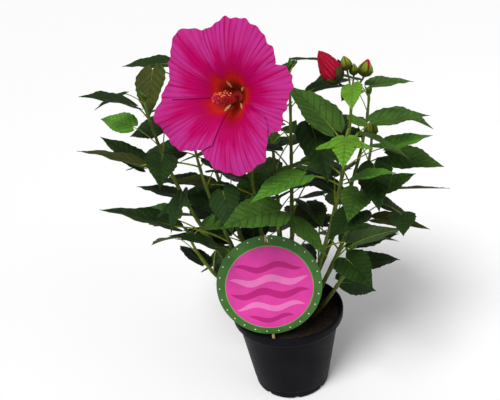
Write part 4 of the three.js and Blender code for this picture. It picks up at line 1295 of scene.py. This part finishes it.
def soft_edge(radii, u):
    """The edge radius across a petal, eased between the given ones."""
    fine = np.linspace(-1, 1, 161)
    edge = np.pad(np.interp(fine, np.linspace(-1, 1, len(radii)), radii), 5, mode="edge")
    kernel = np.hanning(11)
    return np.interp(u, fine, np.convolve(edge, kernel / kernel.sum(), "valid"))


def pleat_phase(turn):
    """The folds' own count round the bloom, a little uneven."""
    return PLEATS_ROUND / 2 * turn + 0.9 * np.sin(3 * turn + 1.0) + 0.6 * np.sin(7 * turn)


def bloom_surface(radius, turn, sizes):
    """The wavy face that all the petals share, so each lies snugly on the next."""
    out = np.clip((radius - 25) / 85, 0, 1.1)
    uneven = 0.6 + 0.4 * np.sin(5 * turn + 0.7)
    depth = uneven * smooth_step(radius, 18, 60) * (1 - 0.4 * smooth_step(radius, 80, 110))
    fold = np.abs(np.sin(pleat_phase(turn))) ** 0.6 - 0.6
    ruffle = 0.9 * np.sin(6 * turn + 0.4) + 0.7 * np.sin(11 * turn + 2.1)
    ruffle = ruffle + 0.35 * np.sin(19 * turn + 4.0)
    return (
        funnel(radius) - 5.0 * out**5 + 2.2 * np.sin(np.pi * np.clip(out, 0, 1))
        + METRE * (sizes.pleats * depth * fold + sizes.ruffle * out**3 * ruffle)
    )


def petal_grid(petal, s, u, sizes):
    """A petal: a narrow claw at the throat that widens into the blade."""
    angle, claw_angle, (clockwise, counter), radii = petal
    spread = np.where(u < 0, clockwise, counter)
    ragged = 1.3 * np.sin(u * 17 + angle) + 1.1 * np.sin(u * 31 + 2 * angle)
    edge = soft_edge(radii, u) + ragged * (1 - u**6)
    radius = BLOOM["neck"] + s * (edge - BLOOM["neck"])
    claw = claw_angle + u * np.interp(s, [0, 0.04, 0.07, 0.13, 0.2], [36, 32, 29, 30.5, 37.5])
    turn = np.radians(lerp(claw, angle + u * spread, smooth_step(s, 0.12, 0.36)))
    over = 1.4 * u + 0.9 * np.clip(u, 0, 1) ** 5
    lift = bloom_surface(radius, turn, sizes) + over * np.sqrt(s)
    return bloom_point(radius, turn, lift), turn


def build_petals(sizes, colours):
    """The five petals, each lapped over the next."""
    form = Form()
    s = np.concatenate([np.linspace(0, 0.3, 16), np.linspace(0.33, 1, 30)])[:, None]
    u = np.linspace(-1, 1, 97)[None]
    for petal in PETALS:
        grid, turn = petal_grid(petal, s, u, sizes)
        places = np.stack(np.broadcast_arrays(pleat_phase(turn) / np.pi, s), -1)
        sheet(form, grid, sizes.petal_thickness * METRE, 0, places)
    piece("petals", form, [petal_finish(colours)], ["bloom"], 60)


def small_ball(form, centre, axis, length, radius, finish, rings=4, sides=6):
    """A small closed ball, drawn out along its axis."""
    x, y = square_to(axis, vec(0.31, 0.52, 0.8))
    rows = np.linspace(0.2, np.pi - 0.2, rings)[:, None]
    turn = 2 * np.pi * np.arange(sides) / sides
    height = (length * np.cos(rows) + 0 * turn)[..., None]
    points = centre + around(x, y, radius * np.sin(rows), turn) - axis * height
    form.add(points, tube_faces(rings, sides), finish)


def build_column(sizes, colours):
    """The column with its stamens and style tips, and pale green strips in the slits between the claws: the
    sepals there, painted paler as light shining through them.
    """
    red, anther, pollen, style, throat, slit = range(6)
    form = Form()
    foot = THROAT + BLOOM_AXIS * FUNNEL["depth"]
    length = BLOOM["column"] - FUNNEL["depth"]
    shares = np.linspace(0, 0.94, 14)
    sag = COLUMN["sag"] * shares**2
    column = foot + BLOOM_AXIS * (shares * length)[:, None] - UP * sag[:, None]
    tube(form, column, lerp(*COLUMN["radius"], shares), 12, red)
    plug = [(AXIS_HOLE, -17.4), (8.8, -17.0), (8.8, -15.8), (AXIS_HOLE, -15.2)]
    turned(form, plug, 24, THROAT, BLOOM_AXIS, throat)
    s, u = np.linspace(0, 1, 7)[:, None], np.linspace(-1, 1, 5)[None]
    # Painted light: pale green strips for the sepals seen through the slits, made paler where light shines
    # through them.
    for angle in CLAW_SLITS:
        radius = lerp(13.0, 22.0, s)
        half = 1.7 * np.sin(np.pi * (0.08 + 0.84 * s)) * (1.15 - 0.4 * s)
        turn = math.radians(angle) + u * half / radius
        sheet(form, bloom_point(radius, turn, funnel(radius) + 1.3), 0.5, slit)
    random = np.random.default_rng(5)
    first = COLUMN["first"]
    for k in range(sizes.stamens):
        share = first + COLUMN["bearing"] * (k / max(1, sizes.stamens - 1))
        start = foot + BLOOM_AXIS * share * length - UP * COLUMN["sag"] * share**2
        out = around(BLOOM_RIGHT, BLOOM_UP, 1, k * math.radians(LEAF["turn"]))
        reach = random.uniform(*COLUMN["stamen"]) * (1 - 0.25 * (share - first))
        tip = start + out * reach + BLOOM_AXIS * random.uniform(0.5, 4.5)
        middle = start + out * reach * 0.5 + BLOOM_AXIS * 0.4
        tube(form, [start, middle, tip], [0.5, 0.38, 0.3], 4, red)
        # Pollen colour on a few anthers at random and on many that point up: partly ripe pollen, partly
        # painted light on the upper side.
        ripe_and_lit = random.random() < 0.08 + 0.4 * (out @ UP > 0.2)
        across = unit(np.cross(out, random.normal(size=3)))
        small_ball(form, tip, across, 1.7, 1.15, pollen if ripe_and_lit else anther)
    end = column[-1]
    for k in range(5):
        out = around(BLOOM_RIGHT, BLOOM_UP, 1, math.radians(72 * k + 20))
        tip = end + out * 4.6 + BLOOM_AXIS * 4.2
        tube(form, [end, end + out * 2 + BLOOM_AXIS * 3, tip], [0.8, 0.7, 0.6], 5, red)
        small_ball(form, tip, out, 1.5, 1.8, style, 5, 8)
    finishes = [
        plant_finish("red column", colours.anther, 0.45, 400),
        plant_finish("red anther", shade(colours.anther, 0.75), 0.6, 900),
        plant_finish("ripe pollen", colours.pollen, 0.8, 1400, 0.5),
        plant_finish("style tip", (0.45, 0.02, 0.09), 0.7, 1200),
        plant_finish("throat floor", shade(colours.throat, 1.5), 0.7, 500),
        plant_finish("claw slit green", (0.40, 0.36, 0.11), 0.7, 500),
    ]
    piece("stamen_column", form, finishes, ["bloom"])


def bract(form, base, way, axis, length, width, bend, finish):
    """A narrow pointed strip that leaves base along way and bends towards axis."""
    s, u = np.linspace(0, 1, 9)[:, None], np.linspace(-1, 1, 5)[None]
    path = base + unit(way) * (length * s)[..., None] + axis * (bend * s**2)[..., None]
    half = width / 2 * np.minimum(1, 0.55 + 1.6 * s) * (1 - s) ** 0.7 + 0.08
    keel = -0.25 * width * np.abs(u) ** 2 * (1 - s)
    grid = path + unit(np.cross(way, axis)) * (u * half)[..., None] + axis * keel[..., None]
    sheet(form, grid, 0.5, finish)


def build_calyx(colours):
    """The bloom's stalk, its green cup with five points, and the ring of narrow bracts; the points' pale
    green is partly painted light shining through them.
    """
    cup, stalk, lobes = range(3)
    form = Form()
    start, way = stem_end("bloom")
    end = CALYX_BASE + BLOOM_AXIS * 4
    path = bezier(start, start + way * 18, end - BLOOM_AXIS * 18, end, 18)
    radii = np.interp(np.linspace(0, 1, 18), [0, 0.5, 0.85, 1], [1.9, 2.3, 3.0, 3.8])
    tube(form, path, radii, 12, stalk)
    profile = [
        (0.1, 0), (4, 0.2), (7, 1.5), (10.5, 6), (12.8, 12), (13.8, 19), (14, 26), (13, 26.5),
        (12.2, 20), (8, 8), (0.1, 5),
    ]

    def ribbed(radius, height, turn):
        return radius * (1 + 0.035 * np.cos(10 * turn)), height

    turned(form, rounded(profile, 0.5, 2), 60, CALYX_BASE, BLOOM_AXIS, cup, ribbed)
    # The five points lie just under the slits between the claws. Their pale green is partly painted light
    # shining through the sepals.
    s, u = np.linspace(0, 1, 12)[:, None], np.linspace(-1, 1, 11)[None]
    radius = np.interp(s, [0, 0.25, 0.5, 1], [13.6, 14.0, 18.0, 31])
    lift = np.minimum(np.interp(s, [0, 0.25, 0.5, 1], [-27, -13, -4, 12]), funnel(radius) - 2.0)
    half = 35 * (1 - s**2.2) ** 0.8 + 0.4
    for angle in CLAW_SLITS:
        sheet(form, bloom_point(radius, np.radians(angle + u * half), lift), 0.7, lobes)
    for k in range(11):
        out = around(BLOOM_RIGHT, BLOOM_UP, 1, 2 * np.pi * k / 11)
        base = CALYX_BASE + BLOOM_AXIS * 2 + out * 5
        away = unit(out * 0.9 + BLOOM_AXIS * 0.45)
        bract(form, base, away, BLOOM_AXIS, 19, 2.4, 7.5, stalk)
    finishes = [
        plant_finish("calyx green", (0.12, 0.19, 0.04), scale=300),
        plant_finish("flower stalk green", colours.stem, scale=260),
        plant_finish("calyx lobe green", (0.30, 0.36, 0.10), scale=300),
    ]
    piece("bloom_calyx", form, finishes, ["bloom"])


# ----------------------------------------------------------------------- buds

# Places of a bud's finishes in its piece.
RED, GREEN, BRACT, STALK, FURLED = range(5)
# A furled bud's radius up its height, and how far its folds wind round it.
FURL = ([0, 0.08, 0.25, 0.42, 0.6, 0.78, 0.92, 1], [0.3, 0.62, 0.92, 1.0, 0.86, 0.6, 0.3, 0.04])
ROLL_TURN = 3.4


def rolled_petals(form, radius, height, base, axis):
    """The rolled petals of a bud that is about to open."""
    def rolled(r, h, turn):
        fold = np.abs(np.sin(turn * 3 + h / height * ROLL_TURN)) ** 0.5
        crease = 0.02 * np.sin(turn * 11 - h / height * 26)
        return r * (0.88 + 0.14 * fold + crease), h

    share = np.linspace(0, 1, 25)
    profile = np.stack([np.interp(share, *FURL) * radius, share * height], -1)
    turned(form, profile, 70, base, axis, RED, rolled)


def add_bud(form, bud):
    """A bud: rolled petals in a five-pointed calyx, or a closed green calyx."""
    base, tip, radius = vec(*bud["base"]), vec(*bud["tip"]), bud["radius"]
    axis, height = unit(tip - base), np.linalg.norm(tip - base)
    x, y = square_to(axis, vec(0.2, 0.9, 0.3))
    furled, opening = bud["kind"] == "furled", bud["kind"] == "opening"
    if furled:
        rolled_petals(form, radius, height, base, axis)
    elif opening:
        profile = [(0.1, 0.3), (radius * 0.7, 0.35), (radius * 0.62, 0.7), (radius * 0.3, 0.9), (0.1, 1)]
        turned(form, [(r, share * height) for r, share in profile], 24, base, axis, RED)
    rows, u = np.linspace(0, 1, 15)[:, None], np.linspace(-1, 1, 9)[None]
    for k in range(5):
        turn = 2 * np.pi * k / 5
        if furled:
            level = (0.3 + 0.26 * max(0, around(x, y, 1, turn)[0])) * rows
            reach = np.interp(level, [0, 0.08, 0.25, 0.42, 0.6], [0.32, 0.72, 1.01, 1.08, 0.94])
            half = np.radians(38) * (1 - rows**2.6) ** 0.7
        else:
            level = (0.9 if opening else 1.0) * rows
            reach = np.interp(rows, [0, 0.12, 0.35, 0.6, 0.85, 1], [0.2, 0.75, 1.0, 0.86, 0.42, 0.05])
            reach = reach + (0.16 * rows**3 if opening else 0)
            half = np.radians(36.5) * (1 - (0.7 if opening else 0.25) * rows**3)
        flat = reach * (1 + 0.07 * (1 - np.abs(u) ** 1.3)) * radius
        along = (level * height + 0 * u)[..., None]
        grid = base + axis * along + around(x, y, flat, turn + u * half)
        sheet(form, grid, 0.6, FURLED if furled else GREEN)
    for k in range(9):
        out = around(x, y, 1, 2 * np.pi * (k + 0.5) / 9)
        start = base + out * radius * 0.22 + axis * 0.3
        width = radius * 0.16 + 0.5
        bract(form, start, unit(out + axis * 0.35), axis, radius * 0.95, width, radius * 0.55, BRACT)


def bud_finishes(colours):
    """The finishes of a piece with buds, in the order of their places."""
    dark = shade(colours.bud_green, 0.13)
    return [
        furled_finish(colours.bud_red),
        cup_finish("bud calyx", dark, colours.bud_green),
        plant_finish("bud bract", shade(dark, 0.8), scale=320),
        plant_finish("bud stalk", shade(colours.stem, 0.6), scale=260),
        cup_finish("furled bud calyx", (0.012, 0.019, 0.007), shade(colours.bud_green, 0.2)),
    ]


def build_buds(colours):
    """The four buds, each on a stalk from the end of the bud stem."""
    form = Form()
    start, way = stem_end("bud")
    tube(form, [start - way, start + way * 3, start + way * 6.5], [2.0, 3.0, 1.8], 10, STALK)
    for bud in BUDS:
        foot, tip = vec(*bud["base"]), vec(*bud["tip"])
        into = unit(tip - foot)
        path = bezier(start + way * 2.5, start + way * 12, foot - into * 8, foot + into * 1.5, 14)
        thick = 0.85 + bud["radius"] * 0.04
        tube(form, path, np.linspace(thick, thick * 1.15, 14), 8, STALK)
        add_bud(form, bud)
    piece("bud_group", form, bud_finishes(colours), ["bud_cluster"])


def build_side_bud(colours):
    """The lone closed bud at the end of the right stem."""
    form = Form()
    start, way = stem_end("right")
    foot = start + way * 4
    tube(form, [start - way, foot, foot + way * 2], [1.9, 2.2, 2.6], 10, STALK)
    tip = foot + way * SIDE_BUD["rise"]
    add_bud(form, dict(base=foot, tip=tip, radius=SIDE_BUD["radius"], kind="green"))
    piece("lone_bud", form, bud_finishes(colours), ["side_bud"])


# ---------------------------------------------------------------------- stage

def set_up(obj, place, right, up, back):
    """Stands an object at a place, with its own three axes turned to these ways."""
    turn = Matrix([[right[i], up[i], back[i]] for i in range(3)]).to_4x4()
    obj.matrix_world = Matrix.Translation(place) @ turn


def lamp(name, kind, strength, place, **shape):
    """A lamp at a place, turned towards the middle of the shrub."""
    light = bpy.data.lights.new(name, kind)
    light.energy = strength
    for key, value in shape.items():
        setattr(light, key, value)
    back = unit(vec(*place) - vec(*LAMPS_AIM))
    right = unit(np.cross(UP, back))
    set_up(placed(name, light), place, right, np.cross(back, right), back)


def build_camera(stage):
    """The camera: in front of the shrub, a little above it and tilted with the view."""
    camera = bpy.data.cameras.new("camera")
    camera.lens, camera.sensor_width = stage.lens, CAMERA["sensor"]
    obj = placed("camera", camera)
    forward = polar(90 - CAMERA["yaw"], -CAMERA["pitch"])
    right = polar(-CAMERA["yaw"])
    up = np.cross(right, forward)
    roll = math.radians(CAMERA["roll"])
    level = right * math.cos(roll) + up * math.sin(roll)
    upright = up * math.cos(roll) - right * math.sin(roll)
    set_up(obj, CAMERA["place"], level, upright, -forward)
    bpy.context.scene.camera = obj


def build_stage(stage):
    """A wide floor, two lamps and even light from all round."""
    mesh = bpy.data.meshes.new("floor")
    corners = [(x * FLOOR_REACH, y * FLOOR_REACH, 0) for x, y in ((-1, -1), (1, -1), (1, 1), (-1, 1))]
    mesh.from_pydata(corners, [], [(0, 1, 2, 3)])
    mesh.materials.append(floor_finish(tuple(stage.floor)))
    placed("floor", mesh)
    lamp("key", "SUN", stage.key, **KEY)
    lamp("fill", "AREA", stage.fill, **FILL)
    world = bpy.data.worlds.new("room")
    world.use_nodes = True
    background = world.node_tree.nodes["Background"]
    background.inputs[0].default_value = (1, 1, 1, 1)
    background.inputs[1].default_value = stage.sky
    bpy.context.scene.world = world
    bpy.context.scene.view_settings.view_transform = "Standard"


# ------------------------------------------------------------------ operators

class SHRUB_OT_camera(bpy.types.Operator):
    """Places the camera"""
    bl_idname = "shrub.camera"
    bl_label = "Camera"
    bl_options = {"REGISTER", "UNDO"}

    def execute(self, context):
        build_camera(context.scene.shrub_stage)
        return {"FINISHED"}


class SHRUB_OT_pot(bpy.types.Operator):
    """Builds the pot and the compost in it"""
    bl_idname = "shrub.pot"
    bl_label = "Pot and compost"
    bl_options = {"REGISTER", "UNDO"}

    def execute(self, context):
        build_pot(context.scene.shrub_colours)
        build_soil(context.scene.shrub_sizes, context.scene.shrub_colours)
        return {"FINISHED"}


class SHRUB_OT_label(bpy.types.Operator):
    """Builds the round label and its wooden peg"""
    bl_idname = "shrub.label"
    bl_label = "Label and peg"
    bl_options = {"REGISTER", "UNDO"}

    def execute(self, context):
        build_label(context.scene.shrub_colours)
        build_peg(context.scene.shrub_colours)
        return {"FINISHED"}


class SHRUB_OT_stems(bpy.types.Operator):
    """Builds the stems"""
    bl_idname = "shrub.stems"
    bl_label = "Stems"
    bl_options = {"REGISTER", "UNDO"}

    def execute(self, context):
        build_stems(context.scene.shrub_colours)
        return {"FINISHED"}


class SHRUB_OT_leaves(bpy.types.Operator):
    """Grows the leaves, their stalks and their veins"""
    bl_idname = "shrub.leaves"
    bl_label = "Leaves"
    bl_options = {"REGISTER", "UNDO"}

    def execute(self, context):
        build_leaves(context.scene.shrub_sizes, context.scene.shrub_colours)
        return {"FINISHED"}


class SHRUB_OT_bloom(bpy.types.Operator):
    """Builds the open bloom with its column and calyx"""
    bl_idname = "shrub.bloom"
    bl_label = "Bloom"
    bl_options = {"REGISTER", "UNDO"}

    def execute(self, context):
        sizes, colours = context.scene.shrub_sizes, context.scene.shrub_colours
        build_petals(sizes, colours)
        build_column(sizes, colours)
        build_calyx(colours)
        return {"FINISHED"}


class SHRUB_OT_buds(bpy.types.Operator):
    """Builds the group of buds and the lone bud"""
    bl_idname = "shrub.buds"
    bl_label = "Buds"
    bl_options = {"REGISTER", "UNDO"}

    def execute(self, context):
        build_buds(context.scene.shrub_colours)
        build_side_bud(context.scene.shrub_colours)
        return {"FINISHED"}


class SHRUB_OT_stage(bpy.types.Operator):
    """Builds the floor, the lamps and the even room light"""
    bl_idname = "shrub.stage"
    bl_label = "Floor and lights"
    bl_options = {"REGISTER", "UNDO"}

    def execute(self, context):
        build_stage(context.scene.shrub_stage)
        return {"FINISHED"}


OPERATORS = (
    SHRUB_OT_camera, SHRUB_OT_pot, SHRUB_OT_label, SHRUB_OT_stems, SHRUB_OT_leaves,
    SHRUB_OT_bloom, SHRUB_OT_buds, SHRUB_OT_stage,
)


class SHRUB_PT_panel(bpy.types.Panel):
    """Lists the settings and the building steps of the shrub"""
    bl_idname = "SHRUB_PT_panel"
    bl_label = "Potted Hibiscus Shrub"
    bl_space_type = "VIEW_3D"
    bl_region_type = "UI"
    bl_category = "Shrub"

    def draw(self, context):
        for operator in OPERATORS:
            self.layout.operator(operator.bl_idname)
        scene = context.scene
        for group in (scene.shrub_sizes, scene.shrub_colours, scene.shrub_stage):
            box = self.layout.box()
            for key in group.__annotations__:
                box.prop(group, key)


CLASSES = (ShrubSizes, ShrubColours, StageSettings, *OPERATORS, SHRUB_PT_panel)


def register():
    for each in CLASSES:
        bpy.utils.register_class(each)
    bpy.types.Scene.shrub_sizes = bpy.props.PointerProperty(type=ShrubSizes)
    bpy.types.Scene.shrub_colours = bpy.props.PointerProperty(type=ShrubColours)
    bpy.types.Scene.shrub_stage = bpy.props.PointerProperty(type=StageSettings)


def unregister():
    del bpy.types.Scene.shrub_stage
    del bpy.types.Scene.shrub_colours
    del bpy.types.Scene.shrub_sizes
    for each in reversed(CLASSES):
        bpy.utils.unregister_class(each)


def main():
    register()
    bpy.ops.shrub.camera()
    bpy.ops.shrub.pot()
    bpy.ops.shrub.label()
    bpy.ops.shrub.stems()
    bpy.ops.shrub.leaves()
    bpy.ops.shrub.bloom()
    bpy.ops.shrub.buds()
    bpy.ops.shrub.stage()


if __name__ == "__main__":
    main()
